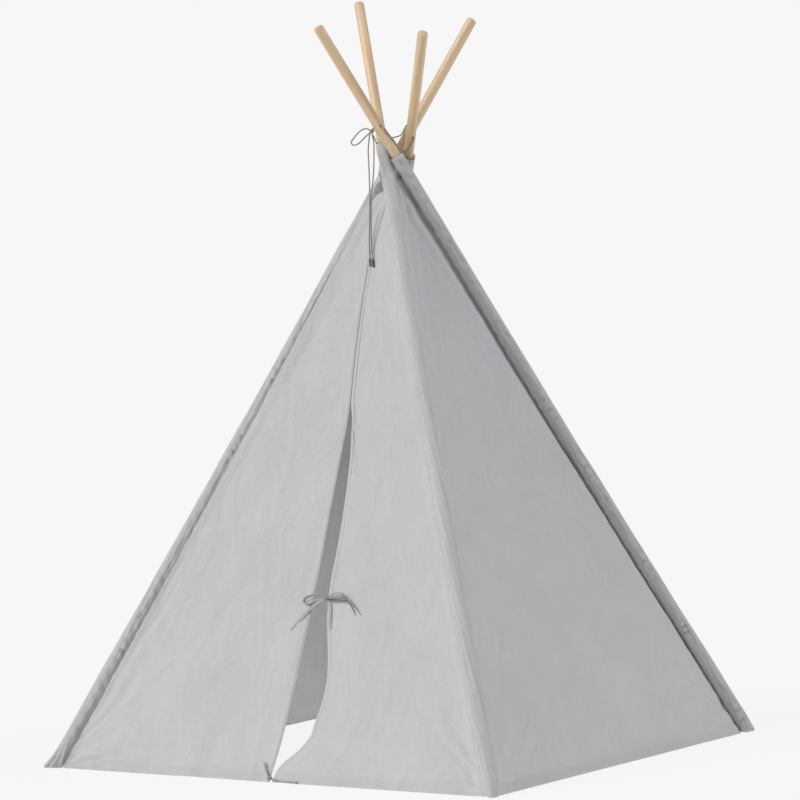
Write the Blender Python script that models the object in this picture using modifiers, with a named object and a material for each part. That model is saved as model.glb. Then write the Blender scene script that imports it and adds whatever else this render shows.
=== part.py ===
"""Children's play teepee: four lashed wooden poles in a sewn cloth cover.

The frame stands on Z = 0 with its origin at the middle of the square base. The door faces -Y.
Each pole leans from its own corner to the crossing, where it passes the other three side by side.
"""

import math

import bmesh
import bpy
import numpy as np
from mathutils import Matrix, Vector

# Driving dimensions, in metres
BASE_SIDE = 1.10  # square base, from pole foot to pole foot
CROSSING_HEIGHT = 1.30  # where the four poles pass each other
CROSSING_X = 0.0525  # the crossing stands a little off the middle of the base
CROSSING_Y = -0.0773
GAP = 0.0003  # left between pieces that touch

# Poles, in two sections that meet in a ferrule
POLE_LENGTH = 1.84
POLE_DIAMETER = 0.022
POLE_END_ROUND = 0.006
POLE_FOOT_ROUND = 0.002
FERRULE_LENGTH = 0.12
FERRULE_WALL = 0.0012
JOINT_HEIGHT = 0.93  # middle of the ferrule, measured along the pole
HOLE_DIAMETER = 0.006
HOLE_FROM_TIP = 0.25
# how far each hole is turned round its pole, in degrees, from pointing straight up the slope
HOLE_TURNS = {"left": 65, "front": 72, "right": -84, "back": 15}

# Cloth cover
CLOTH = 0.0015
HEM_CLOTH = 0.0027  # turned up and sewn
HEM_HEIGHT = 0.02
HEM_LIFT = 0.001  # above the floor
SLEEVE_WALL = 0.0013
SLEEVE_SLACK = 0.0015  # the pocket is cut wider than its pole
SLEEVE_FOOT_DIAMETER = 0.033
# length of each pole that stands out of its sleeve, as it was put up
SLEEVE_BARE = {"left": 0.346, "front": 0.363, "right": 0.323, "back": 0.312}
FOOT_FLAT_DEPTH = 0.001  # slice that the floor takes off the round foot
POLE_SEAT = 0.0075  # from the middle of the round foot down to the pole's end
WALL_TOP_HEIGHT = 1.235
WALL_SAG = 0.012
SLEEVE_FOLD_DEPTH = 0.010  # fold beside the right sleeve, near the top
SLEEVE_FOLD_LENGTH = 0.30
GATHER_DEPTH = 0.003  # gathers under the crossing
GATHER_LENGTH = 0.16

# Door slit
SLIT_TOP_HEIGHT = 0.73
FLAP_ROOT_HEIGHT = 0.032  # where the flap's fold line meets the sleeve
FLAP_BELLY = 0.005
SEAM_GAP = 0.0012  # between the two halves of the door face
FOLD_GAP = 0.0006  # along each flap's fold line
SEAM_CLEARANCE = 0.0007  # between a sheet's edge and its sleeve

# Cords and tapes
LASHING_DIAMETER = 0.003
TAPE_DIAMETER = 0.0042
CORD_TIP_DIAMETER = 0.0042
CORD_TIP_LENGTH = 0.017
LASHING_KNOT_RADIUS = 0.0055
TAPE_KNOT_RADIUS = 0.0065
HEM_KNOT_RADIUS = 0.0055

# Shapes as shares of the sizes above
CORNER_SHARES = {"left": (-0.5, -0.5), "front": (0.5, -0.5), "right": (0.5, 0.5), "back": (-0.5, 0.5)}
CROSSING_SHARES = {
    "left": (-0.691, 1.193), "front": (-0.396, -1.032), "right": (0.677, -1.277), "back": (0.417, 1.112)}
# each row: share of the slit's height, then the share of the way from the left pole to the front pole
LEFT_EDGE_SHARES = (
    (0.0, 0.512), (0.10, 0.522), (0.27, 0.532), (0.45, 0.540), (0.60, 0.5475), (0.80, 0.562),
    (1.0, 0.578))
RIGHT_EDGE_SHARES = (
    (0.0, 0.526), (0.045, 0.535), (0.075, 0.556), (0.11, 0.579), (0.17, 0.5965), (0.27, 0.610),
    (0.38, 0.607), (0.50, 0.598), (0.60, 0.597), (0.80, 0.590), (1.0, 0.578))
SEAM_TOP_SHARE = 0.53
FOLD_WIDTH_SHARE = 0.16
SLEEVE_FOLD_SHARE = 0.75  # where the fold lies, across the right-hand wall
PANEL_GATHER_SHARE = 0.7  # where the door face's gathers begin, up its height

# Resolution
ROUND_STEPS = 24
WALL_COLUMNS = 18
WALL_ROWS = 16
FLAP_COLUMNS = 12
FLAP_ROWS = 14
CURVE_SIDES = 2
STEPS_PER_POINT = 4

POLE_RADIUS = POLE_DIAMETER / 2
SLEEVE_RADIUS = POLE_RADIUS + GAP + SLEEVE_SLACK + SLEEVE_WALL
SLEEVE_FOOT_RADIUS = SLEEVE_FOOT_DIAMETER / 2
POLE_SPACING = 2 * SLEEVE_RADIUS + GAP

# Routes of the cords and tapes, chosen by hand, in metres
LASHING_ROUTE = (
    (0.0420, -0.1551, 1.3445), (0.0394, -0.1473, 1.3499), (0.0370, -0.1397, 1.3517),
    (0.0410, -0.1347, 1.3532), (0.0519, -0.1412, 1.3540), (0.0621, -0.1473, 1.3546),
    (0.0667, -0.1454, 1.3503), (0.0708, -0.1352, 1.3393), (0.0762, -0.1237, 1.3259),
    (0.0810, -0.1130, 1.3119), (0.0864, -0.1037, 1.3044), (0.0624, -0.0673, 1.3014),
    (0.0774, -0.0660, 1.3105), (0.0882, -0.0672, 1.3216), (0.0911, -0.0670, 1.3298),
    (0.0816, -0.0623, 1.3364), (0.0726, -0.0579, 1.3427), (0.0657, -0.0546, 1.3488),
    (0.0763, -0.0386, 1.3745), (0.0706, -0.0258, 1.3779), (0.0665, -0.0140, 1.3751),
    (0.0627, -0.0031, 1.3725), (0.0570, -0.0037, 1.3696), (0.0500, -0.0122, 1.3668),
    (0.0456, -0.0229, 1.3625), (0.0473, -0.0350, 1.3530), (0.0478, -0.0520, 1.3400),
    (0.0417, -0.0793, 1.3323), (0.0279, -0.0836, 1.3216), (0.0196, -0.0940, 1.3202),
    (0.0182, -0.1026, 1.3248), (0.0171, -0.1076, 1.3351), (0.0268, -0.1290, 1.3395),
    (0.0420, -0.1551, 1.3445))
LASHING_LOOP_ROUTE = (
    (0.0420, -0.1551, 1.3450), (0.0312, -0.1600, 1.3506), (0.0176, -0.1630, 1.3457),
    (0.0051, -0.1660, 1.3335), (-0.0022, -0.1680, 1.3231), (0.0033, -0.1680, 1.3168),
    (0.0150, -0.1670, 1.3190), (0.0290, -0.1600, 1.3330), (0.0415, -0.1552, 1.3445))
TAIL_LEFT_ROUTE = (
    (0.0402, -0.1594, 1.3398), (0.0382, -0.1612, 1.3191), (0.0357, -0.1610, 1.2935),
    (0.0354, -0.1600, 1.2507), (0.0355, -0.1600, 1.2015), (0.0333, -0.1600, 1.1438),
    (0.0325, -0.1615, 1.1010), (0.0390, -0.1690, 1.0718))
TAIL_RIGHT_ROUTE = (
    (0.0455, -0.1585, 1.3392), (0.0505, -0.1600, 1.3162), (0.0498, -0.1610, 1.2885),
    (0.0462, -0.1600, 1.2502), (0.0401, -0.1610, 1.2013), (0.0380, -0.1610, 1.1436),
    (0.0387, -0.1625, 1.1008), (0.0470, -0.1700, 1.0694))
BOW_LEFT_ROUTE = (
    (0.0753, -0.4264, 0.3685), (0.0561, -0.4274, 0.3733), (0.0402, -0.4300, 0.3711),
    (0.0293, -0.4340, 0.3622), (0.0409, -0.4334, 0.3589), (0.0580, -0.4308, 0.3612),
    (0.0756, -0.4268, 0.3675))
BOW_RIGHT_ROUTE = (
    (0.0803, -0.4263, 0.3690), (0.0990, -0.4276, 0.3785), (0.1130, -0.4297, 0.3794),
    (0.1274, -0.4329, 0.3744), (0.1345, -0.4345, 0.3675), (0.1221, -0.4327, 0.3656),
    (0.1027, -0.4299, 0.3663), (0.0805, -0.4267, 0.3680))
BOW_TAIL_LEFT_ROUTE = (
    (0.0775, -0.4264, 0.3675), (0.0550, -0.4340, 0.3501), (0.0321, -0.4383, 0.3332),
    (0.0165, -0.4420, 0.3165), (0.0062, -0.4460, 0.3020))
BOW_TAIL_RIGHT_ROUTE = (
    (0.0785, -0.4264, 0.3676), (0.1122, -0.4314, 0.3604), (0.1364, -0.4332, 0.3571),
    (0.1576, -0.4346, 0.3486), (0.1736, -0.4369, 0.3369))
BOW_TAPE_RIGHT_ROUTE = ((0.0779, -0.4264, 0.3686), (0.0930, -0.4268, 0.3647), (0.1003, -0.4285, 0.3566))
TAPE_LEFT_ROUTE = ((0.0490, -0.4223, 0.3593), (0.0560, -0.4231, 0.3620), (0.0700, -0.4250, 0.3655))
HEM_TAIL_UP_ROUTE = (
    (0.0173, -0.5510, 0.0148), (0.0109, -0.5479, 0.0222), (0.0024, -0.5440, 0.0305),
    (-0.0080, -0.5398, 0.0397))
HEM_TAIL_ALONG_ROUTE = (
    (0.0173, -0.5510, 0.0148), (0.0356, -0.5526, 0.0098), (0.0580, -0.5526, 0.0070),
    (0.0847, -0.5520, 0.0063))

MATERIALS = {
    "pole_wood": ((0.80, 0.62, 0.42), 0.55, 0.0),
    "ferrule_steel": ((0.62, 0.63, 0.64), 0.35, 1.0),
    "cover_cloth": ((0.56, 0.57, 0.58), 0.9, 0.0),
    "lashing_cord": ((0.42, 0.38, 0.30), 0.9, 0.0),
    "cord_tip": ((0.12, 0.11, 0.10), 0.6, 0.0),
}


def clear_scene():
    for thing in list(bpy.data.objects):
        bpy.data.objects.remove(thing, do_unlink=True)


def new_collection(name):
    collection = bpy.data.collections.new(name)
    bpy.context.scene.collection.children.link(collection)
    return collection


def material(name):
    found = bpy.data.materials.get(name)
    if found:
        return found
    colour, roughness, metallic = MATERIALS[name]
    made = bpy.data.materials.new(name)
    made.use_nodes = True
    shader = made.node_tree.nodes["Principled BSDF"]
    shader.inputs["Base Color"].default_value = (*colour, 1.0)
    shader.inputs["Roughness"].default_value = roughness
    shader.inputs["Metallic"].default_value = metallic
    return made


def place(name, data, collection, material_name=None, frame=None):
    thing = bpy.data.objects.new(name, data)
    collection.objects.link(thing)
    if material_name:
        data.materials.append(material(material_name))
    if frame is not None:
        thing.matrix_world = frame
    return thing


# Lines and surfaces that everything hangs on

def pole_line(corner):
    """Foot of a pole's axis on the floor, and the axis's direction."""
    share_x, share_y = CORNER_SHARES[corner]
    foot = Vector((share_x * BASE_SIDE, share_y * BASE_SIDE, 0))
    over_x, over_y = CROSSING_SHARES[corner]
    crossing = Vector((
        CROSSING_X + over_x * POLE_SPACING, CROSSING_Y + over_y * POLE_SPACING, CROSSING_HEIGHT))
    return foot, (crossing - foot).normalized()


def pole_frame(corner):
    """Local Z runs up the pole, and local X lies in the pole's vertical plane."""
    foot, along = pole_line(corner)
    upward = (Vector((0, 0, 1)) - along * along.z).normalized()
    side = along.cross(upward)
    turn = Matrix((upward, side, along)).transposed().to_4x4()
    return Matrix.Translation(foot) @ turn


def foot_middle(corner):
    """Distance along the pole from the floor to the middle of the sleeve's round foot."""
    return (SLEEVE_FOOT_RADIUS - FOOT_FLAT_DEPTH) / pole_line(corner)[1].z


def pole_start(corner):
    return foot_middle(corner) - POLE_SEAT


def sleeve_top(corner):
    return pole_start(corner) + POLE_LENGTH - SLEEVE_BARE[corner]


def sleeve_radius_at(corner, height):
    """Outer radius of a sleeve where its axis has this height."""
    along = pole_line(corner)[1]
    low, high = foot_middle(corner) * along.z, sleeve_top(corner) * along.z
    share = min(max((height - low) / (high - low), 0), 1)
    return SLEEVE_FOOT_RADIUS + (SLEEVE_RADIUS - SLEEVE_FOOT_RADIUS) * share


def axis_at(corner, height):
    foot, along = pole_line(corner)
    return foot + along * (height / along.z)


def face_point(face, across, height):
    """Point of the flat web between two pole axes, at a share across it and a height."""
    a, b = (axis_at(corner, height) for corner in face)
    return a + (b - a) * across


def face_normal(face, height):
    """Outward normal of the web, half way across."""
    a, b = (axis_at(corner, height) for corner in face)
    rise = (pole_line(face[0])[1] + pole_line(face[1])[1]) / 2
    return (b - a).cross(rise).normalized()


def web_limits(face, height):
    """Shares across the web where the two sleeves end."""
    a, b = (axis_at(corner, height) for corner in face)
    width = (b - a).length
    reach = []
    for corner in face:
        along = pole_line(corner)[1]
        square = math.sqrt(1 - ((b - a).normalized().dot(along)) ** 2)
        reach.append((sleeve_radius_at(corner, height) + SEAM_CLEARANCE) / (width * square))
    return reach[0], 1 - reach[1]


def mix(low, high, share):
    return low + (high - low) * share


def smooth_step(low, high, value):
    share = min(max((value - low) / (high - low), 0), 1)
    return share * share * (3 - 2 * share)


def edge_share(table, share):
    """Where a slit's edge lies at a share of its height, read between the rows of its table."""
    heights = [row[0] for row in table]
    values = [row[1] for row in table]
    return float(np.interp(share, heights, values))


# Turned pieces

def turned(name, profile, collection, material_name, frame):
    """A profile of (radius, height) points, turned round local Z."""
    mesh = bpy.data.meshes.new(name)
    points = [(radius, 0, height) for radius, height in profile]
    mesh.from_pydata(points, [(i, i + 1) for i in range(len(points) - 1)], [])
    thing = place(name, mesh, collection, material_name, frame)
    screw = thing.modifiers.new("Turn", "SCREW")
    screw.axis = "Z"
    screw.steps = screw.render_steps = ROUND_STEPS
    screw.use_merge_vertices = True
    screw.merge_threshold = GAP / 30
    screw.use_smooth_shade = True
    return thing


def closed_profile(points):
    return [*points, points[0]]


def arc(middle, radius, start, end, steps):
    """Points of an arc in the profile's plane, by angles in degrees from +radius."""
    angles = (math.radians(mix(start, end, i / steps)) for i in range(steps + 1))
    return [(middle[0] + radius * math.cos(a), middle[1] + radius * math.sin(a)) for a in angles]


def cut(thing, cutter):
    boolean = thing.modifiers.new("Cut", "BOOLEAN")
    boolean.operation = "DIFFERENCE"
    boolean.solver = "EXACT"
    boolean.object = cutter


def as_cutter(thing):
    thing.hide_render = True
    thing.display_type = "WIRE"


def pole(corner, parts, cutters):
    """Lower section, ferrule and upper section of one pole."""
    frame = pole_frame(corner)
    start = pole_start(corner)
    tip = start + POLE_LENGTH
    bore = POLE_RADIUS - FERRULE_WALL
    spigot = bore - GAP
    low, high = JOINT_HEIGHT - FERRULE_LENGTH / 2, JOINT_HEIGHT + FERRULE_LENGTH / 2
    foot_round = arc((POLE_RADIUS - POLE_FOOT_ROUND, start + POLE_FOOT_ROUND), POLE_FOOT_ROUND, 0, -90, 2)
    turned(f"pole_{corner}_lower", [
        (0, JOINT_HEIGHT - GAP / 2), (spigot, JOINT_HEIGHT - GAP / 2), (spigot, low), (POLE_RADIUS, low),
        *foot_round, (0, start)], parts, "pole_wood", frame)
    turned(f"ferrule_{corner}", closed_profile([
        (bore, high - GAP), (POLE_RADIUS, high - GAP), (POLE_RADIUS, low + GAP), (bore, low + GAP)]),
        parts, "ferrule_steel", frame)
    tip_round = arc((POLE_RADIUS - POLE_END_ROUND, tip - POLE_END_ROUND), POLE_END_ROUND, 90, 0, 5)
    upper = turned(f"pole_{corner}_upper", [
        (0, tip), *tip_round, (POLE_RADIUS, high), (spigot, high), (spigot, JOINT_HEIGHT + GAP / 2),
        (0, JOINT_HEIGHT + GAP / 2)], parts, "pole_wood", frame)
    cut(upper, hole_cutter(corner, tip - HOLE_FROM_TIP, cutters))


def hole_cutter(corner, distance, cutters):
    """Drill for the cord hole, square to the pole and turned about it."""
    mesh = bpy.data.meshes.new(f"cutter_hole_{corner}")
    shape = bmesh.new()
    bmesh.ops.create_cone(
        shape, cap_ends=True, segments=ROUND_STEPS // 2, radius1=HOLE_DIAMETER / 2, radius2=HOLE_DIAMETER / 2,
        depth=2 * POLE_DIAMETER)
    shape.to_mesh(mesh)
    shape.free()
    turn = Matrix.Rotation(math.radians(HOLE_TURNS[corner]), 4, "Z")
    lay_down = Matrix.Rotation(math.radians(90), 4, "Y")
    frame = pole_frame(corner) @ Matrix.Translation((0, 0, distance)) @ turn @ lay_down
    thing = place(mesh.name, mesh, cutters, None, frame)
    as_cutter(thing)
    return thing


def floor_cutter(cutters):
    mesh = bpy.data.meshes.new("cutter_floor")
    shape = bmesh.new()
    bmesh.ops.create_cube(shape, size=1)
    side, depth = 2 * BASE_SIDE, SLEEVE_FOOT_DIAMETER
    for vertex in shape.verts:
        vertex.co = (vertex.co.x * side, vertex.co.y * side, (vertex.co.z - 0.5) * depth)
    shape.to_mesh(mesh)
    shape.free()
    thing = place(mesh.name, mesh, cutters)
    as_cutter(thing)
    return thing


def sleeve(corner, floor, parts):
    """Cloth pocket round a pole: open at the top, and closed in a round foot that stands on the floor."""
    middle, top = foot_middle(corner), sleeve_top(corner)
    cavity = SLEEVE_FOOT_RADIUS - SLEEVE_WALL
    seat = pole_start(corner) - GAP
    seat_radius = math.sqrt(cavity ** 2 - (middle - seat) ** 2)
    dome = arc((0, middle), SLEEVE_FOOT_RADIUS, 0, -75, 5)
    thing = turned(f"sleeve_{corner}", [
        (0, seat), (seat_radius, seat), (cavity, middle), (SLEEVE_RADIUS - SLEEVE_WALL, top),
        (SLEEVE_RADIUS, top), *dome, (0, middle - SLEEVE_FOOT_RADIUS)],
        parts, "cover_cloth", pole_frame(corner))
    cut(thing, floor)


# Cloth sheets

def cloth_sheet(name, columns, rows, point, collection, hem=None):
    """A sheet of cloth: a grid laid by point(across, up), with its thickness and a thicker hem."""
    shape = bmesh.new()
    bmesh.ops.create_grid(shape, x_segments=columns, y_segments=rows, size=0.5)
    shares = [(vertex.co.x + 0.5, vertex.co.y + 0.5) for vertex in shape.verts]
    for vertex, (across, up) in zip(shape.verts, shares):
        vertex.co = point(across, up)
    mesh = bpy.data.meshes.new(name)
    shape.to_mesh(mesh)
    shape.free()
    thing = place(name, mesh, collection, "cover_cloth")
    solidify = thing.modifiers.new("Cloth", "SOLIDIFY")
    solidify.offset = 0
    solidify.thickness = CLOTH
    if hem:
        group = thing.vertex_groups.new(name="hem")
        for index, (_, up) in enumerate(shares):
            group.add([index], 1.0 if up <= hem else CLOTH / HEM_CLOTH, "REPLACE")
        solidify.thickness = HEM_CLOTH
        solidify.vertex_group = group.name
    return thing


def hem_rows(up, hem):
    """Spends the first row of the grid on the hem, and the rest on the sheet above it."""
    first = 1 / WALL_ROWS
    return up / first * hem if up <= first else mix(hem, 1, (up - first) / (1 - first))


def wall(name, face, parts, sleeve_fold=0):
    """A wall between two sleeves, hung from hem to crossing, bellied inward, gathered near its top."""
    hem = (HEM_HEIGHT - HEM_LIFT) / (WALL_TOP_HEIGHT - HEM_LIFT)

    def point(across, up):
        height = mix(HEM_LIFT, WALL_TOP_HEIGHT, hem_rows(up, hem))
        low, high = web_limits(face, height)
        middle = 4 * across * (1 - across)
        rise = height / WALL_TOP_HEIGHT
        depth = -WALL_SAG * middle * 4 * rise * (1 - rise)
        gather = smooth_step(WALL_TOP_HEIGHT - GATHER_LENGTH, WALL_TOP_HEIGHT, height)
        depth += GATHER_DEPTH * gather * math.sin(4 * math.pi * across) * middle
        if sleeve_fold:
            strength = smooth_step(WALL_TOP_HEIGHT - SLEEVE_FOLD_LENGTH, WALL_TOP_HEIGHT, height)
            beside = math.exp(-(((across - sleeve_fold) / FOLD_WIDTH_SHARE) ** 2))
            depth -= SLEEVE_FOLD_DEPTH * strength * beside * middle
        return face_point(face, mix(low, high, across), height) + face_normal(face, height) * depth

    return cloth_sheet(name, WALL_COLUMNS, WALL_ROWS, point, parts, hem=1 / WALL_ROWS)


DOOR = ("left", "front")


def slit_share(table, height):
    return edge_share(table, (height - HEM_LIFT) / (SLIT_TOP_HEIGHT - HEM_LIFT))


def seam_share(height):
    start = edge_share(LEFT_EDGE_SHARES, 1)
    rise = (height - SLIT_TOP_HEIGHT) / (WALL_TOP_HEIGHT - SLIT_TOP_HEIGHT)
    return mix(start, SEAM_TOP_SHARE, rise)


def seam_offset(height):
    """Half the seam gap, as a share across the door face."""
    a, b = (axis_at(corner, height) for corner in DOOR)
    return SEAM_GAP / 2 / (b - a).length


def door_patch(side, low_outer, high_outer, low_inner, high_inner, inner_share, belly):
    """Surface of one door-face piece, between its sleeve and the slit or the seam.

    Heights run from low to high, apart at the sleeve (outer) and at the slit (inner)."""
    def point(across, up):
        outer_height = mix(low_outer, high_outer, up)
        inner_height = mix(low_inner, high_inner, up)
        left, right = web_limits(DOOR, outer_height)
        inner = inner_share(inner_height)
        if side == "left":
            share, height = mix(left, inner, across), mix(outer_height, inner_height, across)
            middle = across
        else:
            share, height = mix(inner, right, across), mix(inner_height, outer_height, across)
            middle = 1 - across
        place_on_web = face_point(DOOR, share, height)
        depth = belly(middle, up)
        return place_on_web + face_normal(DOOR, height) * depth
    return point


def front_panel(side, parts):
    """Upper half of the door face, sewn to its sleeve and down to the flap's fold line."""
    sign = -1 if side == "left" else 1

    def inner_share(height):
        return seam_share(height) + sign * seam_offset(height)

    def belly(toward_seam, up):
        middle = 4 * toward_seam * (1 - toward_seam)
        strength = GATHER_DEPTH * smooth_step(PANEL_GATHER_SHARE, 1, up)
        return strength * math.sin(2 * math.pi * toward_seam) * middle

    point = door_patch(
        side, FLAP_ROOT_HEIGHT + FOLD_GAP, WALL_TOP_HEIGHT, SLIT_TOP_HEIGHT + FOLD_GAP, WALL_TOP_HEIGHT,
        inner_share, belly)
    return cloth_sheet(f"front_panel_{side}", FLAP_COLUMNS, FLAP_ROWS, point, parts)


def door_flap(side, parts):
    """Triangular flap under the fold line, from its sleeve's foot to the slit."""
    table = LEFT_EDGE_SHARES if side == "left" else RIGHT_EDGE_SHARES
    sign = -1 if side == "left" else 1

    def inner_share(height):
        return slit_share(table, height) + sign * seam_offset(height)

    def belly(toward_slit, up):
        return FLAP_BELLY * math.sin(math.pi * up) * math.sin(math.pi * toward_slit)

    point = door_patch(
        side, HEM_LIFT, FLAP_ROOT_HEIGHT - FOLD_GAP, HEM_LIFT, SLIT_TOP_HEIGHT - FOLD_GAP, inner_share, belly)
    return cloth_sheet(f"door_flap_{side}", FLAP_COLUMNS, FLAP_ROWS, point, parts)


# Cords and tapes

def smooth_route(points, steps):
    """Catmull-Rom curve through the route's own points."""
    route = [Vector(p) for p in points]
    route = [route[0] * 2 - route[1], *route, route[-1] * 2 - route[-2]]
    curve = []
    for a, b, c, d in zip(route, route[1:], route[2:], route[3:]):
        for step in range(steps):
            t = step / steps
            curve.append(0.5 * (2 * b + (c - a) * t + (2 * a - 5 * b + 4 * c - d) * t * t
                                + (3 * b - a - 3 * c + d) * t ** 3))
    return [*curve, route[-2]]


def tube(name, points, diameter, collection, material_name, steps=STEPS_PER_POINT, sides=CURVE_SIDES):
    data = bpy.data.curves.new(name, "CURVE")
    data.dimensions = "3D"
    data.bevel_depth = diameter / 2
    data.bevel_resolution = sides
    data.render_resolution_u = 0
    data.use_fill_caps = True
    curve = smooth_route(points, steps)
    spline = data.splines.new("POLY")
    spline.points.add(len(curve) - 1)
    for target, source in zip(spline.points, curve):
        target.co = (*source, 1)
    return place(name, data, collection, material_name)


def as_mesh(thing, collection):
    """A curve's solid as a plain mesh object, with its caps welded."""
    bpy.context.view_layer.update()
    graph = bpy.context.evaluated_depsgraph_get()
    mesh = bpy.data.meshes.new_from_object(thing.evaluated_get(graph))
    shape = bmesh.new()
    shape.from_mesh(mesh)
    bmesh.ops.remove_doubles(shape, verts=shape.verts, dist=GAP / 30)
    shape.to_mesh(mesh)
    shape.free()
    solid = bpy.data.objects.new(thing.name, mesh)
    solid.matrix_world = thing.matrix_world
    name = thing.name
    bpy.data.objects.remove(thing, do_unlink=True)
    solid.name = name
    collection.objects.link(solid)
    return solid


def knot(name, middle, radius, collection, material_name):
    mesh = bpy.data.meshes.new(name)
    shape = bmesh.new()
    bmesh.ops.create_uvsphere(
        shape, u_segments=ROUND_STEPS // 2, v_segments=ROUND_STEPS // 3, radius=radius)
    shape.to_mesh(mesh)
    shape.free()
    mesh.materials.append(material(material_name))
    thing = place(name, mesh, collection)
    thing.location = middle
    return thing


def tied(name, radius, routes, diameter, material_name, parts, guides):
    """A knot with the cords or tapes that leave it, as one solid.

    The knot sits where the first one starts."""
    base = knot(name, routes[0][0], radius, parts, material_name)
    for number, route in enumerate(routes):
        guide = tube(f"guide_{name}_{number}", route, diameter, guides, material_name, steps=3)
        strand = as_mesh(guide, guides)
        union = base.modifiers.new("Join", "BOOLEAN")
        union.operation = "UNION"
        union.solver = "EXACT"
        union.object = strand
        as_cutter(strand)


def lashing(parts, guides):
    """Cord through the poles' holes, tied in a slip bow with one loop and two hanging tails."""
    tied("lashing_cord", LASHING_KNOT_RADIUS, (LASHING_ROUTE, LASHING_LOOP_ROUTE), LASHING_DIAMETER,
         "lashing_cord", parts, guides)
    for side, route in (("left", TAIL_LEFT_ROUTE), ("right", TAIL_RIGHT_ROUTE)):
        tube(f"lashing_tail_{side}", route, LASHING_DIAMETER, parts, "lashing_cord")
        end, before = Vector(route[-1]), Vector(route[-2])
        direction = (end - before).normalized()
        cord_tip(f"lashing_tip_{side}", end + direction * GAP, direction, parts)


def door_ties(parts, guides):
    """Tape bow half way up the door, and the knot at the hem."""
    tied("door_tie_bow", TAPE_KNOT_RADIUS,
         (BOW_LEFT_ROUTE, BOW_RIGHT_ROUTE, BOW_TAIL_LEFT_ROUTE, BOW_TAIL_RIGHT_ROUTE, BOW_TAPE_RIGHT_ROUTE),
         TAPE_DIAMETER, "cover_cloth", parts, guides)
    tube("door_tie_left", TAPE_LEFT_ROUTE, TAPE_DIAMETER, parts, "cover_cloth")
    tied("hem_tie", HEM_KNOT_RADIUS, (HEM_TAIL_UP_ROUTE, HEM_TAIL_ALONG_ROUTE), TAPE_DIAMETER,
         "cover_cloth", parts, guides)


def cord_tip(name, start, direction, parts):
    """Sealed dark end of a lashing tail."""
    radius = CORD_TIP_DIAMETER / 2
    frame = Matrix.Translation(start) @ direction.to_track_quat("Z", "Y").to_matrix().to_4x4()
    turned(name, [
        (0, CORD_TIP_LENGTH), (radius / 2, CORD_TIP_LENGTH), (radius, CORD_TIP_LENGTH - radius),
        (radius, 0), (0, 0)], parts, "cord_tip", frame)


def print_hinges():
    """Where each hinge lies, for whoever rigs the part."""
    for child, parent in (("left", "back"), ("right", "back"), ("front", "right")):
        foot_a, a = pole_line(child)
        foot_b, b = pole_line(parent)
        matrix = np.array([[a.dot(a), -a.dot(b)], [a.dot(b), -b.dot(b)]])
        across = foot_b - foot_a
        along_a, along_b = np.linalg.solve(matrix, np.array([across.dot(a), across.dot(b)]))
        near_a, near_b = foot_a + a * along_a, foot_b + b * along_b
        middle, axis = (near_a + near_b) / 2, a.cross(b).normalized()
        print(f"hinge {parent}-{child}: at {tuple(round(v, 4) for v in middle)}, "
              f"axis {tuple(round(v, 5) for v in axis)}")
    for side, corner in (("left", 0), ("right", 1)):
        root = face_point(DOOR, web_limits(DOOR, FLAP_ROOT_HEIGHT)[corner], FLAP_ROOT_HEIGHT)
        top = face_point(DOOR, seam_share(SLIT_TOP_HEIGHT), SLIT_TOP_HEIGHT)
        print(f"flap {side}: from {tuple(round(v, 4) for v in root)} to {tuple(round(v, 4) for v in top)}, "
              f"outward {tuple(round(v, 4) for v in face_normal(DOOR, SLIT_TOP_HEIGHT / 2))}")


def main():
    clear_scene()
    parts = new_collection("play_teepee")
    cutters = new_collection("cutters")
    floor = floor_cutter(cutters)
    for corner in CORNER_SHARES:
        pole(corner, parts, cutters)
        sleeve(corner, floor, parts)
    wall("wall_left_back", ("back", "left"), parts)
    wall("wall_right_back", ("right", "back"), parts)
    wall("wall_right_front", ("front", "right"), parts, sleeve_fold=SLEEVE_FOLD_SHARE)
    for side in ("left", "right"):
        front_panel(side, parts)
        door_flap(side, parts)
    lashing(parts, cutters)
    door_ties(parts, cutters)
    print_hinges()


main()
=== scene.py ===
import bpy
import bmesh
import math
import numpy as np
from mathutils import Matrix, Vector


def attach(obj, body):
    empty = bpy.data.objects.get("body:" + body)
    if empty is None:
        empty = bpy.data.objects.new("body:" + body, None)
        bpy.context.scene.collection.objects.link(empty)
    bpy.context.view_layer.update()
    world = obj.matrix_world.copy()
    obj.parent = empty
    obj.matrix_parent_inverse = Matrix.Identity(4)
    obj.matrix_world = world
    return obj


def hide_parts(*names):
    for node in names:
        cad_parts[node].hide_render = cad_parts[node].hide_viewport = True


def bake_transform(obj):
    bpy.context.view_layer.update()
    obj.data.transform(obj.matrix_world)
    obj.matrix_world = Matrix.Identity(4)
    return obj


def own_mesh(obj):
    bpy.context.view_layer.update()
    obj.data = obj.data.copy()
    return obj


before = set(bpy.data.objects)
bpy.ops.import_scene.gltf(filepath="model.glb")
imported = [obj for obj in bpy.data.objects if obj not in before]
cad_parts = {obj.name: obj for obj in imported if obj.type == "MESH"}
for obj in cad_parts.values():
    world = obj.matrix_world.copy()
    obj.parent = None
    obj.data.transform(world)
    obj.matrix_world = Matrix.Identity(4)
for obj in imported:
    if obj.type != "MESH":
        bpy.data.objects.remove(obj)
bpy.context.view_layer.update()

# The tent's own lines, in metres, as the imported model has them. The door faces -Y.
tent = {
    "baseSide": 1.10,
    "crossing": (0.0525, -0.0773, 1.30),
    "poleSpacing": 0.0285,
    "poleRadius": 0.011,
    "poleLength": 1.84,
    "poleSeat": 0.0075,
    "sleeveRadius": 0.0141,
    "footRadius": 0.0165,
    "footFlat": 0.001,
    "hemLift": 0.001,
    "wallTop": 1.235,
    "slitTop": 0.73,
    "flapRoot": 0.032,
    "seamClearance": 0.0007,
}
bareLength = {"left": 0.346, "front": 0.363, "right": 0.323, "back": 0.312}
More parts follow.
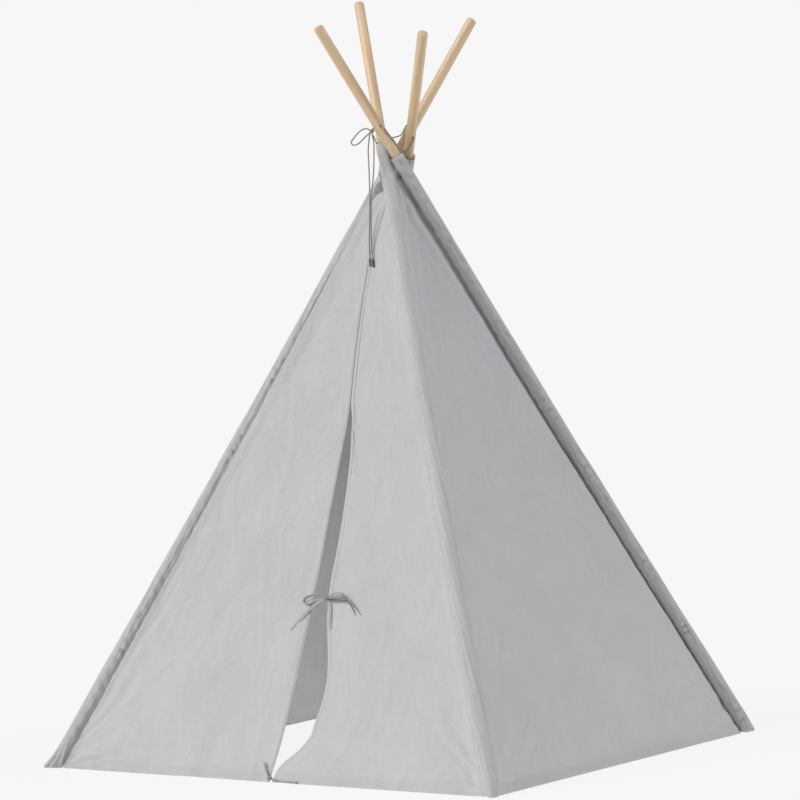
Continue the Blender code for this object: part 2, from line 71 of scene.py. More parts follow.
cornerShares = {"left": (-0.5, -0.5), "front": (0.5, -0.5), "right": (0.5, 0.5), "back": (-0.5, 0.5)}
crossingShares = {
    "left": (-0.691, 1.193), "front": (-0.396, -1.032), "right": (0.677, -1.277), "back": (0.417, 1.112)}
legOf = {corner: corner + "_leg" for corner in cornerShares}


def poleLine(corner):  # foot on the floor, and the unit direction up the pole
    foot = np.array([*(share * tent["baseSide"] for share in cornerShares[corner]), 0.0])
    over = np.array([*(share * tent["poleSpacing"] for share in crossingShares[corner]), 0.0])
    along = np.array(tent["crossing"]) + over - foot
    return foot, along / np.linalg.norm(along)


def poleAxes(corner):  # two directions square to the pole: toward up, and to its side
    along = poleLine(corner)[1]
    upward = np.array([0.0, 0.0, 1.0]) - along * along[2]
    upward /= np.linalg.norm(upward)
    return upward, np.cross(along, upward)


def axisAt(corner, height):  # the pole's middle line at a height, height may be an array
    foot, along = poleLine(corner)
    return foot + along * (np.asarray(height, float) / along[2])[..., None]


def footMiddle(corner):
    return (tent["footRadius"] - tent["footFlat"]) / poleLine(corner)[1][2]


def sleeveTop(corner):
    return footMiddle(corner) - tent["poleSeat"] + tent["poleLength"] - bareLength[corner]


def sleeveRadiusAt(corner, height):
    rise = poleLine(corner)[1][2]
    low, high = footMiddle(corner) * rise, sleeveTop(corner) * rise
    share = np.clip((height - low) / (high - low), 0, 1)
    return tent["footRadius"] + (tent["sleeveRadius"] - tent["footRadius"]) * share


def length3(vectors):
    return np.sqrt((vectors * vectors).sum(-1))


def travel(points):  # the way gone at each point of a path
    return np.concatenate([[0], np.cumsum(length3(np.diff(points, axis=0)))])


def webNormal(face, height):  # outward normal of the flat web between two poles
    a, b = (axisAt(corner, height) for corner in face)
    rise = poleLine(face[0])[1] + poleLine(face[1])[1]
    normal = np.cross(b - a, rise)
    return normal / length3(normal)[..., None]


def webLimits(face, height):  # shares across the web where the two sleeves end
    a, b = (axisAt(corner, height) for corner in face)
    width = length3(b - a)
    reach = []
    for corner in face:
        lean = ((b - a) / width[..., None]) @ poleLine(corner)[1]
        reach.append((sleeveRadiusAt(corner, height) + tent["seamClearance"]) / (width * np.sqrt(1 - lean ** 2)))
    return reach[0], 1 - reach[1]


def faceWidth(face, height):  # from one pole's middle line to the other's
    return length3(axisAt(face[1], height) - axisAt(face[0], height))


def webPoint(face, share, height):
    a, b = (axisAt(corner, height) for corner in face)
    return a + (b - a) * np.asarray(share)[..., None]


def smoothStep(low, high, value):
    share = np.clip((value - low) / (high - low), 0, 1)
    return share * share * (3 - 2 * share)


def softNoise(x, y, seed):  # smooth noise from -1 to 1: a seeded table read with eased steps between its points
    table = np.random.default_rng(seed).uniform(-1, 1, (64, 64))
    xFloor, yFloor = np.floor(x).astype(int), np.floor(y).astype(int)
    fx, fy = x - xFloor, y - yFloor
    fx, fy = fx * fx * fx * (fx * (fx * 6 - 15) + 10), fy * fy * fy * (fy * (fy * 6 - 15) + 10)
    x0, x1, y0, y1 = xFloor % 64, (xFloor + 1) % 64, yFloor % 64, (yFloor + 1) % 64
    low = table[x0, y0] * (1 - fx) + table[x1, y0] * fx
    high = table[x0, y1] * (1 - fx) + table[x1, y1] * fx
    return low * (1 - fy) + high * fy


def creaseNoise(x, y, seed):
    # creased noise from 0 to 1: one minus the absolute value of smooth noise, so its ridges are sharp
    return 1 - np.abs(softNoise(x, y, seed) + 0.4 * softNoise(2.1 * x, 2.1 * y, seed + 1)) / 1.4


poleBend = {"depth": 0.006, "power": 0.7, "shift": (-0.0012, -0.0008)}


def bent(points):
    # the cover's pull draws the poles toward the tent's middle line: the draw is a sine of the height up to the
    # crossing, raised to a power, so it is nothing at the feet and at the crossing and most half way up
    moved = np.array(points, float)
    share = np.clip(moved[..., 2] / tent["crossing"][2], 0, 1)[..., None]
    strength = np.sin(math.pi * share) ** poleBend["power"]
    spread = tent["baseSide"] / math.sqrt(2) * (1 - share) + tent["poleSpacing"]
    inward = share * np.array(tent["crossing"][:2]) - moved[..., :2]
    moved[..., :2] += strength * (poleBend["depth"] * inward / spread + np.array(poleBend["shift"]))
    return moved


def addObject(name, data):
    made = bpy.data.objects.new(name, data)
    bpy.context.scene.collection.objects.link(made)
    return made


cameraView = {"place": (3.7271, -5.7098, 0.8861), "yaw": 33.16, "pitch": 1.005, "roll": -1.42, "focusPixels": 3116.0}


def addCamera(view):
    yaw, pitch, roll = (math.radians(view[name]) for name in ("yaw", "pitch", "roll"))
    forward = Vector((-math.sin(yaw) * math.cos(pitch), math.cos(yaw) * math.cos(pitch), -math.sin(pitch)))
    level = Vector((math.cos(yaw), math.sin(yaw), 0))
    right = level * math.cos(roll) + level.cross(forward) * math.sin(roll)
    data = bpy.data.cameras.new("photoCamera")
    data.sensor_width = 36
    data.lens = view["focusPixels"] * data.sensor_width / 800
    camera = addObject("photoCamera", data)
    turn = Matrix((right, right.cross(forward), -forward)).transposed().to_4x4()
    camera.matrix_world = Matrix.Translation(view["place"]) @ turn
    bpy.context.scene.camera = camera


addCamera(cameraView)


# Node helpers for the materials. Each adds its nodes to the tree that the sockets it is given belong to.
def setInputs(tree, node, values):
    for key, value in values.items():
        if isinstance(value, bpy.types.NodeSocket):
            tree.links.new(value, node.inputs[key])
        else:
            node.inputs[key].default_value = value


def addNode(tree, kind, inputs=None, **settings):
    node = tree.nodes.new("ShaderNode" + kind)
    for name, value in settings.items():
        setattr(node, name, value)
    setInputs(tree, node, inputs or {})
    return node


def maths(operation, *values):
    tree = next(value for value in values if isinstance(value, bpy.types.NodeSocket)).id_data
    return addNode(tree, "Math", dict(enumerate((*values, 0.0, 0.0)[:3])), operation=operation).outputs[0]


def mixColour(factor, first, second):
    return addNode(factor.id_data, "Mix", {0: factor, 6: first, 7: second}, data_type="RGBA").outputs[2]


def ramp(value, low, high):  # eased step of a value from 0 at low to 1 at high
    return addNode(value.id_data, "MapRange", {"Value": value, "From Min": low, "From Max": high},
                   interpolation_type="SMOOTHSTEP").outputs["Result"]


def stretched(vector, factors):
    return addNode(vector.id_data, "VectorMath", {0: vector, 1: factors}, operation="MULTIPLY").outputs[0]


def noise(vector, scale, detail, roughness=0.5, distortion=0.0):
    values = {"Vector": vector, "Scale": scale, "Detail": detail, "Roughness": roughness, "Distortion": distortion}
    return addNode(vector.id_data, "TexNoise", values).outputs[0]


def newGroup(name, inputs, outputs):
    tree = bpy.data.node_groups.new(name, "ShaderNodeTree")
    for socketName, kind, value in inputs:
        socket = tree.interface.new_socket(socketName, in_out="INPUT", socket_type="NodeSocket" + kind)
        if value is not None:
            socket.default_value = value
    for socketName in outputs:
        tree.interface.new_socket(socketName, in_out="OUTPUT", socket_type="NodeSocketFloat")
    return tree, tree.nodes.new("NodeGroupInput").outputs, tree.nodes.new("NodeGroupOutput").inputs


def useGroup(tree, group, inputs):
    return addNode(tree, "Group", inputs, node_tree=group).outputs


def plainWeaveGroup():
    # over and under of a plain weave: one thread's sine times the other's, with thick and thin threads
    tree, given, made = newGroup(
        "plainWeave", [("Cloth", "Vector", None), ("Threads", "Float", 1800.0)], ["Height", "Slub"])
    split = addNode(tree, "SeparateXYZ", {0: given["Cloth"]})
    turns = maths("MULTIPLY", given["Threads"], math.pi)
    warp, weft = (maths("SINE", maths("MULTIPLY", split.outputs[side], turns)) for side in (0, 1))
    checker = maths("MULTIPLY_ADD", maths("MULTIPLY", warp, weft), 0.5, 0.5)
    slubs = [noise(stretched(given["Cloth"], factors), 1.0, 2.0, 0.6)
             for factors in ((900.0, 26.0, 1.0), (22.0, 820.0, 1.0))]
    slub = maths("MULTIPLY", maths("ADD", *slubs), 0.5)
    tree.links.new(maths("MULTIPLY_ADD", slub, 0.8, checker), made["Height"])
    tree.links.new(slub, made["Slub"])
    return tree


def stitchRowGroup():
    # a row of stitches: a narrow band at one distance from an edge, broken into dashes along it
    tree, given, made = newGroup(
        "stitchRow", [("Distance", "Float", 0.0), ("Along", "Float", 0.0), ("Offset", "Float", 0.005),
                      ("Width", "Float", 0.0009), ("Pitch", "Float", 0.0032)], ["Thread", "Pinch"])
    away = maths("ABSOLUTE", maths("SUBTRACT", given["Distance"], given["Offset"]))
    band = maths("MAXIMUM", maths("SUBTRACT", 1.0, maths("DIVIDE", away, given["Width"])), 0.0)
    beat = maths("FRACT", maths("DIVIDE", given["Along"], given["Pitch"]))
    dash = ramp(maths("ABSOLUTE", maths("SUBTRACT", beat, 0.5)), 0.42, 0.30)
    tree.links.new(maths("MULTIPLY", band, dash), made["Thread"])
    wide = maths("SUBTRACT", 1.0, maths("DIVIDE", away, maths("MULTIPLY", given["Width"], 3.0)))
    tree.links.new(maths("MAXIMUM", wide, 0.0), made["Pinch"])
    return tree


def woodGrainGroup():
    # rings stretched along the pole, fine pores, and a slow change of tone
    tree, given, made = newGroup("beechGrain", [("Pole", "Vector", None)], ["Tone", "Pores"])
    rings = noise(stretched(given["Pole"], (210.0, 60.0, 5.0)), 1.0, 4.0, 0.55)
    fine = noise(stretched(given["Pole"], (2400.0, 2400.0, 55.0)), 1.0, 2.0)
    tree.links.new(maths("MULTIPLY_ADD", fine, 0.35, rings), made["Tone"])
    tree.links.new(ramp(fine, 0.60, 0.72), made["Pores"])
    return tree


groups = {"weave": plainWeaveGroup(), "stitch": stitchRowGroup(), "grain": woodGrainGroup()}


def newMaterial(name, values):
    material = bpy.data.materials.new(name)
    material.use_nodes = True
    tree = material.node_tree
    shader = tree.nodes["Principled BSDF"]
    setInputs(tree, shader, {"Subsurface Scale": 0.01, **values})
    return material, tree, shader


def dress(shader, colour, height, strength):  # gives the shader its colour, and a height in metres as bump
    tree = colour.id_data
    bump = addNode(tree, "Bump", {"Height": height, "Strength": strength, "Distance": 1.0})
    setInputs(tree, shader, {"Base Color": colour, "Normal": bump.outputs[0]})


clothLook = {
    "colour": (0.512, 0.518, 0.534, 1), "dark": (0.458, 0.464, 0.478, 1), "threadsPerMetre": 1700.0, "sheen": 0.10,
    "thread": (0.66, 0.66, 0.66, 1), "glow": 0.45, "glowReach": (0.5, 0.5, 0.48)}
# the tape's grey is painted darker than the canvas as shade among the bow's loops and tails, and its two edges get
# painted shade
tapeLook = {
    **clothLook, "colour": (0.43, 0.43, 0.43, 1), "dark": (0.36, 0.36, 0.36, 1), "paintedEdgeShade": (0.17, 0.17, 0.17, 1),
    "tapeWidth": 0.0062, "glow": 0.15}


def canvasMaterial(name, look, hemmed=True):
    # grey cotton canvas: woven threads, faint slubs and mottling, hem folds and rows of stitches along sewn edges
    material, tree, shader = newMaterial(name, {
        "Roughness": 0.92, "Sheen Weight": look["sheen"], "Subsurface Weight": look["glow"],
        "Subsurface Radius": look["glowReach"]})
    cloth = addNode(tree, "UVMap", uv_map="cloth").outputs[0]
    weave = useGroup(tree, groups["weave"], {"Cloth": cloth, "Threads": look["threadsPerMetre"]})
    place = addNode(tree, "TexCoord").outputs["Object"]
    tone = maths("MULTIPLY_ADD", noise(place, 7.0, 5.0, 0.6), 0.6, maths("MULTIPLY", weave["Slub"], 0.9))
    colour = mixColour(ramp(tone, 0.45, 1.05), look["dark"], look["colour"])
    height = maths("MULTIPLY", weave["Height"], 0.00010)
    fold = maths("ABSOLUTE", maths("SUBTRACT", noise(place, 17.0, 2.0, distortion=0.7), 0.5))
    height = maths("MULTIPLY_ADD", ramp(fold, 0.0, 0.20), 0.0004, height)
    height = maths("MULTIPLY_ADD", noise(place, 11.0, 2.0, distortion=2.0), 0.0050, height)
    split = addNode(tree, "SeparateXYZ", {0: cloth}).outputs
    if hemmed:
        sewn, hem = (addNode(tree, "Attribute", attribute_name=key).outputs["Fac"] for key in ("sewnEdge", "hemEdge"))
        side = useGroup(tree, groups["stitch"], {"Distance": sewn, "Along": split[1], "Offset": 0.006})
        foot = useGroup(tree, groups["stitch"], {"Distance": hem, "Along": split[0], "Offset": 0.0175})
        thread, pinch = (maths("MAXIMUM", side[key], foot[key]) for key in ("Thread", "Pinch"))
        colour = mixColour(maths("MULTIPLY", thread, 0.35), colour, look["thread"])
        height = maths("MULTIPLY_ADD", pinch, -0.0007, height)
        height = maths("MULTIPLY_ADD", thread, 0.0004, height)
        height = maths("MULTIPLY_ADD", ramp(hem, 0.0215, 0.0190), 0.0009, height)
    else:  # the tape's two edges are painted darker: painted shade along its curled edges
        turn = maths("FRACT", maths("DIVIDE", split[0], look["tapeWidth"]))
        edge = maths("ABSOLUTE", maths("SUBTRACT", turn, 0.5))
        colour = mixColour(ramp(edge, 0.30, 0.46), colour, look["paintedEdgeShade"])
    dress(shader, colour, height, 0.8)
    return material


woodLook = {"light": (0.735, 0.560, 0.365, 1), "dark": (0.590, 0.410, 0.240, 1), "pore": (0.40, 0.26, 0.14, 1)}


def woodMaterial(look):
    # pale sanded beech: grain along the pole, short dark pores, a thin satin coat
    material, tree, shader = newMaterial("paleBeech", {"Coat Weight": 0.12, "Coat Roughness": 0.35})
    pole = addNode(tree, "Attribute", attribute_name="poleSpace").outputs["Vector"]
    grain = useGroup(tree, groups["grain"], {"Pole": pole})
    colour = mixColour(ramp(grain["Tone"], 0.45, 0.95), look["light"], look["dark"])
    colour = mixColour(maths("MULTIPLY", grain["Pores"], 0.30), colour, look["pore"])
    height = maths("MULTIPLY_ADD", grain["Pores"], -0.00012, maths("MULTIPLY", grain["Tone"], 0.0001))
    dress(shader, colour, height, 0.7)
    tree.links.new(maths("MULTIPLY_ADD", grain["Pores"], 0.2, 0.46), shader.inputs["Roughness"])
    return material


def steelMaterial():
    # drawn steel tube, brushed round the pole
    material, tree, shader = newMaterial("ferruleSteel", {"Metallic": 1.0})
    pole = addNode(tree, "Attribute", attribute_name="poleSpace").outputs["Vector"]
    brush = noise(stretched(pole, (40.0, 40.0, 3000.0)), 1.0, 3.0)
    setInputs(tree, shader, {
        "Base Color": mixColour(brush, (0.56, 0.57, 0.58, 1), (0.68, 0.69, 0.70, 1)),
        "Roughness": maths("MULTIPLY_ADD", brush, 0.25, 0.25)})
    return material


# the strands' colour, and the painted shade of the hollows between them
cordLook = {"light": (0.46, 0.41, 0.30, 1), "dark": (0.20, 0.17, 0.12, 1), "braidPitch": 0.0034}


def cordMaterial(look):
    # braided cord: two families of diagonal strands that cross, read from round and along the cord
    material, tree, shader = newMaterial("braidedCord", {"Roughness": 0.88, "Sheen Weight": 0.2})
    split = addNode(tree, "SeparateXYZ", {0: addNode(tree, "UVMap", uv_map="cloth").outputs[0]})
    run = maths("DIVIDE", split.outputs[1], look["braidPitch"])
    turned = [maths("MULTIPLY_ADD", split.outputs[0], turns, run) for turns in (4.0, -4.0)]
    strands = [maths("ABSOLUTE", maths("SINE", maths("MULTIPLY", turn, math.pi))) for turn in turned]
    braid = maths("MULTIPLY", *strands)
    # the hollows between the strands are painted dark: painted shade where the braid dips
    dress(shader, mixColour(ramp(braid, 0.05, 0.7), look["dark"], look["light"]), maths("MULTIPLY", braid, 0.0004), 1.0)
    return material


def tipMaterial():
    # shrunk plastic sleeve on the cord's end, with rings where it gripped
    material, tree, shader = newMaterial("shrunkTip", {"Roughness": 0.5})
    rings = noise(addNode(tree, "TexCoord").outputs["Object"], 420.0, 3.0)
    colour = mixColour(rings, (0.035, 0.032, 0.028, 1), (0.075, 0.07, 0.06, 1))
    dress(shader, colour, maths("MULTIPLY", rings, 0.0003), 0.6)
    return material


materials = {
    "canvas": canvasMaterial("greyCanvas", clothLook), "tape": canvasMaterial("canvasTape", tapeLook, hemmed=False),
    "wood": woodMaterial(woodLook), "steel": steelMaterial(), "cord": cordMaterial(cordLook), "tip": tipMaterial()}
print("materials: %d" % len(materials))


# Meshes from grids of points
def gridFaces(rows, columns, closed=False):
    # each face's four corners as row and column numbers; a closed grid joins its last column to its first
    row, column = np.meshgrid(np.arange(rows - 1), np.arange(columns if closed else columns - 1), indexing="ij")
    corners = np.stack([np.stack([row, column], -1), np.stack([row, column + 1], -1),
                        np.stack([row + 1, column + 1], -1), np.stack([row + 1, column], -1)], -2)
    return corners.reshape(-1, 4, 2)


def meshFrom(name, points, faces, uvs, attributes=None):
    mesh = bpy.data.meshes.new(name)
    mesh.vertices.add(len(points))
    placed = bent(points)
    placed[:, 2] = np.maximum(placed[:, 2], 0.0002)  # nothing dips below the floor
    mesh.vertices.foreach_set("co", placed.astype(np.float32).ravel())
    mesh.loops.add(faces.size)
    mesh.loops.foreach_set("vertex_index", faces.astype(np.int32).ravel())
    mesh.polygons.add(len(faces))
    mesh.polygons.foreach_set("loop_start", np.arange(len(faces), dtype=np.int32) * 4)
    mesh.update(calc_edges=True)
    mesh.polygons.foreach_set("use_smooth", np.ones(len(faces), bool))
    layer = mesh.uv_layers.new(name="cloth")
    layer.data.foreach_set("uv", np.ascontiguousarray(uvs, np.float32).ravel())
    for key, values in (attributes or {}).items():
        mesh.attributes.new(key, "FLOAT", "POINT").data.foreach_set("value", values.astype(np.float32).ravel())
    return mesh


def addPiece(name, mesh, material, replaced):
    piece = addObject(name, mesh)
    mesh.materials.append(materials[material])
    if replaced:
        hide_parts(*replaced)
    return piece


def closedTube(name, rings, ends, places, around, attributes=None):
    # rings of points joined into a tube, closed by a fan of faces to a middle point at each end
    rows, sides = rings.shape[:2]
    corners = gridFaces(rows, sides, closed=True)[:, ::-1]
    uvs = np.stack([corners[..., 1] / sides * around, places[corners[..., 0]]], -1)
    spokes = np.arange(0, sides, 2)
    low = np.stack([np.full(len(spokes), rows * sides), spokes, spokes + 1, (spokes + 2) % sides], -1)
    high = low + (rows - 1) * sides
    high[:, 0] = rows * sides + 1
    caps = np.concatenate([low, high[:, ::-1]])
    faces = np.concatenate([corners[..., 0] * sides + corners[..., 1] % sides, caps])
    uvs = np.concatenate([uvs.reshape(-1, 2), np.zeros((caps.size, 2))])
    return meshFrom(name, np.concatenate([rings.reshape(-1, 3), ends]), faces, uvs, attributes)


def sheetMesh(name, middle, thickness, outward, uv, attributes):
    # two skins half a thickness either side of the middle surface, joined by a rim with sharp edges
    normal = np.cross(np.gradient(middle, axis=1), np.gradient(middle, axis=0))
    normal /= np.maximum(length3(normal), 1e-12)[..., None]
    flip = np.sign((normal * outward).sum(-1).mean())
    normal = normal * flip
    normal = np.where((normal * outward).sum(-1)[..., None] > 0.5, normal, outward)
    offset = normal * thickness[..., None] / 2
    points = np.concatenate([(middle + offset).reshape(-1, 3), (middle - offset).reshape(-1, 3)])
    rows, columns = middle.shape[:2]
    count = rows * columns
    corners = gridFaces(rows, columns)
    front = corners[..., 0] * columns + corners[..., 1]
    edge = np.concatenate([np.arange(columns), np.arange(1, rows) * columns + columns - 1,
                           (rows - 1) * columns + np.arange(columns - 2, -1, -1), np.arange(rows - 2, 0, -1) * columns])
    following = np.roll(edge, -1)
    rim = np.stack([edge, following, following + count, edge + count], -1)
    if flip > 0:
        front = front[:, ::-1]
    else:
        rim = rim[:, ::-1]
    faces = np.concatenate([front, front[:, ::-1] + count, rim])
    uvs = np.concatenate([uv.reshape(-1, 2)] * 2)[faces].reshape(-1, 2)
    doubled = {key: np.concatenate([values.ravel()] * 2) for key, values in attributes.items()}
    mesh = meshFrom(name, points, faces, uvs, doubled)
    mesh.set_sharp_from_angle(angle=math.radians(60))
    return mesh


def smoothRoute(points, step):
    # the route's smooth curve through its own points, then points at equal steps along it
    route = np.array(points, float)
    route = np.vstack([2 * route[0] - route[1], route, 2 * route[-1] - route[-2]])
    t = np.linspace(0, 1, 24, endpoint=False)[:, None]
    pieces = []
    for a, b, c, d in zip(route, route[1:], route[2:], route[3:]):
        square, cube = 2 * a - 5 * b + 4 * c - d, 3 * b - a - 3 * c + d
        pieces.append(0.5 * (2 * b + (c - a) * t + square * t ** 2 + cube * t ** 3))
    curve = np.vstack([*pieces, route[-2]])
    travelled = travel(curve)
    places = np.linspace(0, travelled[-1], max(int(travelled[-1] / step), 4) + 1)
    return np.stack([np.interp(places, travelled, curve[:, i]) for i in range(3)], -1), places


def routeFrames(path, first):
    # a direction square to the path, carried along it without twist, and the one square to both
    tangent = np.gradient(path, axis=0)
    tangent /= length3(tangent)[:, None]
    normals = np.empty_like(path)
    normal = np.array(first, float)
    for index, along in enumerate(tangent):
        normal = normal - along * (normal @ along)
        normal /= np.linalg.norm(normal)
        normals[index] = normal
    return normals, np.cross(tangent, normals)


def tubeMesh(name, points, radius, step, sides=14, braid=0.0):
    # a circle carried along the route; braid raises diagonal strands by that share of the radius
    path, places = smoothRoute(points, step)
    normals, across = routeFrames(path, (0.3, -0.9, 0.2))
    turn = np.arange(sides) / sides
    angle = 2 * math.pi * turn
    run = places[:, None] / cordLook["braidPitch"]
    weave = np.abs(np.sin(math.pi * (4 * turn + run)) * np.sin(math.pi * (4 * turn - run)))
    taper = np.sqrt(np.clip(np.minimum(places, places[-1] - places) / (0.6 * radius), 0.02, 1))
    reach = radius * (1 + braid * (weave - 0.5)) * taper[:, None]
    rings = path[:, None] + reach[..., None] * (
        np.cos(angle)[None, :, None] * normals[:, None] + np.sin(angle)[None, :, None] * across[:, None])
    return closedTube(name, rings, path[[0, -1]], places, 1.0), path


def inMetres(route):  # routes are written in tenths of a millimetre
    return [tuple(value / 10000 for value in point) for point in route]


# Cords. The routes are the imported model's own.
cordShape = {"diameter": 0.003, "step": 0.0008, "braid": 0.16, "knotSize": 0.0052, "knotTilt": 0.7,
             "tipRadius": 0.0020, "tipStep": 0.0006, "tipLap": 0.002, "tipLength": 0.0170}
lashingRoute = inMetres((
    (420, -1551, 13445), (394, -1473, 13499), (370, -1397, 13517), (410, -1347, 13532), (519, -1412, 13540),
    (621, -1473, 13546), (667, -1454, 13503), (708, -1352, 13393), (762, -1237, 13259), (810, -1130, 13119),
    (864, -1037, 13044), (624, -673, 13014), (774, -660, 13105), (882, -672, 13216), (911, -670, 13298),
    (816, -623, 13364), (726, -579, 13427), (657, -546, 13488), (763, -386, 13745), (706, -258, 13779),
    (665, -140, 13751), (627, -31, 13725), (570, -37, 13696), (500, -122, 13668), (456, -229, 13625),
    (473, -350, 13530), (478, -520, 13400), (417, -793, 13323), (279, -836, 13216), (196, -940, 13202),
    (182, -1026, 13248), (171, -1076, 13351), (268, -1290, 13395), (420, -1551, 13445)))
# the stretches of that route: first and last point, and the body that carries each, or the two bodies that a stretch
# runs between; such a stretch stays where it is, on neither body
lashingStretches = {
    "lashingKnotSide": (0, 4, ("right_leg",)), "lashingRing": (4, 15, ("right_leg", "back_leg")),
    "lashingBack": (15, 20, ("back_leg", "left_leg")), "lashingRound": (20, 33, ("right_leg",))}
loopRoute = inMetres((
    (420, -1551, 13450), (312, -1600, 13506), (176, -1630, 13457), (51, -1660, 13335), (-22, -1680, 13231),
    (33, -1680, 13168), (150, -1670, 13190), (290, -1600, 13330), (415, -1552, 13445)))
tailRoutes = {
    "left": ((402, -1594, 13398), (382, -1612, 13191), (357, -1610, 12935), (354, -1600, 12507),
            (355, -1600, 12015), (333, -1600, 11438), (325, -1615, 11010), (390, -1690, 10718)),
    "right": ((455, -1585, 13392), (505, -1600, 13162), (498, -1610, 12885), (462, -1600, 12502),
             (401, -1610, 12013), (380, -1610, 11436), (387, -1625, 11008), (470, -1700, 10694))}


def knotRoute(middle, size, tilt):
    # trefoil: x = sin t + 2 sin 2t, y = cos t - 2 cos 2t, z = -sin 3t, scaled and tilted about X
    t = np.linspace(0, 2 * math.pi, 48)
    x, y, z = np.sin(t) + 2 * np.sin(2 * t), np.cos(t) - 2 * np.cos(2 * t), -np.sin(3 * t)
    c, s = math.cos(tilt), math.sin(tilt)
    return np.array(middle) + size / 3 * np.stack([x, c * y - s * 1.2 * z, s * y + c * 1.2 * z], -1)


def cordTube(name, route):
    return tubeMesh(name, route, cordShape["diameter"] / 2, cordShape["step"], braid=cordShape["braid"])


def addCords():
    for name, (first, last, bodies) in lashingStretches.items():
        mesh, path = cordTube(name, lashingRoute[first:last + 1])
        replaced = ["lashing_cord"] if name == "lashingRing" else []
        piece = addPiece(name, mesh, "cord", replaced)
        if len(bodies) > 1:
            middle = bent(path[len(path) // 2 - 20:len(path) // 2 + 20])
            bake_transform(piece)
        else:
            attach(piece, bodies[0])
    knot = knotRoute(loopRoute[0], cordShape["knotSize"], cordShape["knotTilt"])
    for name, route in (("lashingLoop", loopRoute), ("lashingKnot", knot)):
        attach(addPiece(name, cordTube(name, route)[0], "cord", []), "right_leg")
    for side, tenths in tailRoutes.items():
        name, route = "lashingTail_" + side, inMetres(tenths)
        mesh, path = cordTube(name, route)
        piece = addPiece(name, mesh, "cord", ["lashing_tail_" + side])
        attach(piece, "right_leg")
        ahead = path[-1] - path[-3]
        ahead /= np.linalg.norm(ahead)
        tipPoints = path[-1] + ahead * np.linspace(-cordShape["tipLap"], cordShape["tipLength"], 8)[:, None]
        name = "lashingTip_" + side
        mesh = tubeMesh(name, tipPoints, cordShape["tipRadius"], cordShape["tipStep"])[0]
        tip = addPiece(name, mesh, "tip", ["lashing_tip_" + side])
        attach(tip, "right_leg")
        bent(path).tolist()


addCords()
print("cords: ring, loop and two tails")


# Poles and ferrules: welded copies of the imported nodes, cut into short lengths so that they can bow, with each
# point's place along its own pole
poleCopy = {"weld": 0.00001, "firstCut": 0.05, "cutStep": 0.06, "sharpDegrees": 38, "grainShift": 3.7}


def weldedCopy(node, name, corner, material):
    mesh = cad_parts[node].data.copy()
    mesh.materials.clear()
    shape = bmesh.new()
    shape.from_mesh(mesh)
    bmesh.ops.remove_doubles(shape, verts=shape.verts, dist=poleCopy["weld"])
    bmesh.ops.recalc_face_normals(shape, faces=shape.faces)
    foot, along = poleLine(corner)
    lastCut = tent["poleLength"] - bareLength[corner] + poleCopy["firstCut"]
    for distance in np.arange(poleCopy["firstCut"], lastCut, poleCopy["cutStep"]):
        bmesh.ops.bisect_plane(shape, geom=[*shape.verts, *shape.edges, *shape.faces], dist=poleCopy["weld"],
                               plane_co=foot + along * distance, plane_no=along)
    shape.to_mesh(mesh)
    shape.free()
    mesh.polygons.foreach_set("use_smooth", np.ones(len(mesh.polygons), bool))
    mesh.set_sharp_from_angle(angle=math.radians(poleCopy["sharpDegrees"]))
    points = np.empty(len(mesh.vertices) * 3, np.float32)
    mesh.vertices.foreach_get("co", points)
    upward, sideways = poleAxes(corner)
    local = (points.reshape(-1, 3) - foot) @ np.stack([upward, sideways, along], -1)
    local += np.array([0.0, 0.0, poleCopy["grainShift"]]) * list(cornerShares).index(corner)
    space = mesh.attributes.new("poleSpace", "FLOAT_VECTOR", "POINT")
    space.data.foreach_set("vector", local.astype(np.float32).ravel())
    mesh.vertices.foreach_set("co", bent(points.reshape(-1, 3)).astype(np.float32).ravel())
    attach(addPiece(name, mesh, material, [node]), legOf[corner])


for corner in cornerShares:
    for node, name, material, slot in (
            ("pole_%s_lower", "poleLower_%s", "wood", "pole_wood"),
            ("pole_%s_upper", "poleUpper_%s", "wood", "pole_wood"),
            ("ferrule_%s", "ferrule_%s_tube", "steel", "ferrule_steel")):
        weldedCopy(node % corner, name % corner, corner, material)
print("poles: 4, in two sections each")


# Sleeves
sleeveShape = {
    "rows": 620, "insideRows": 120, "sides": 64, "pucker": 0.0010, "puckerPitch": 0.034, "slack": 0.0012,
    "seamRidge": 0.0008, "seamWidth": 0.30, "mouthFlare": 0.0022, "wall": 0.0010, "pleats": 9, "pleatTwist": 95.0,
    "pleatDepth": {"left": 0.0019, "front": 0.0004, "right": 0.0002, "back": 0.0010},
    "toe": {"left": 0.019, "front": 0.004, "right": 0.006, "back": 0.006}, "toeHeight": 0.045, "toeFlat": 0.80,
    "longer": {"left": 0.0, "front": 0.0, "right": 0.0, "back": 0.012}}
walls = {
    "wall_left_back": ("back", "left"), "wall_right_back": ("right", "back"), "wall_right_front": ("front", "right")}
# the height up to which each wall's cloth is gathered between its sleeves
wallTops = {"wall_left_back": 1.280, "wall_right_back": 1.240, "wall_right_front": 1.285}
doorFace = ("left", "front")


def sleeveSeams(corner):  # angles round the pole at which its two neighbours' cloth leaves it
    upward, sideways = poleAxes(corner)
    angles = []
    for face in [*walls.values(), doorFace]:
        if corner in face:
            other = face[1] if corner == face[0] else face[0]
            toward = axisAt(other, 0.6) - axisAt(corner, 0.6)
            angles.append(math.atan2(toward @ sideways, toward @ upward))
    return angles


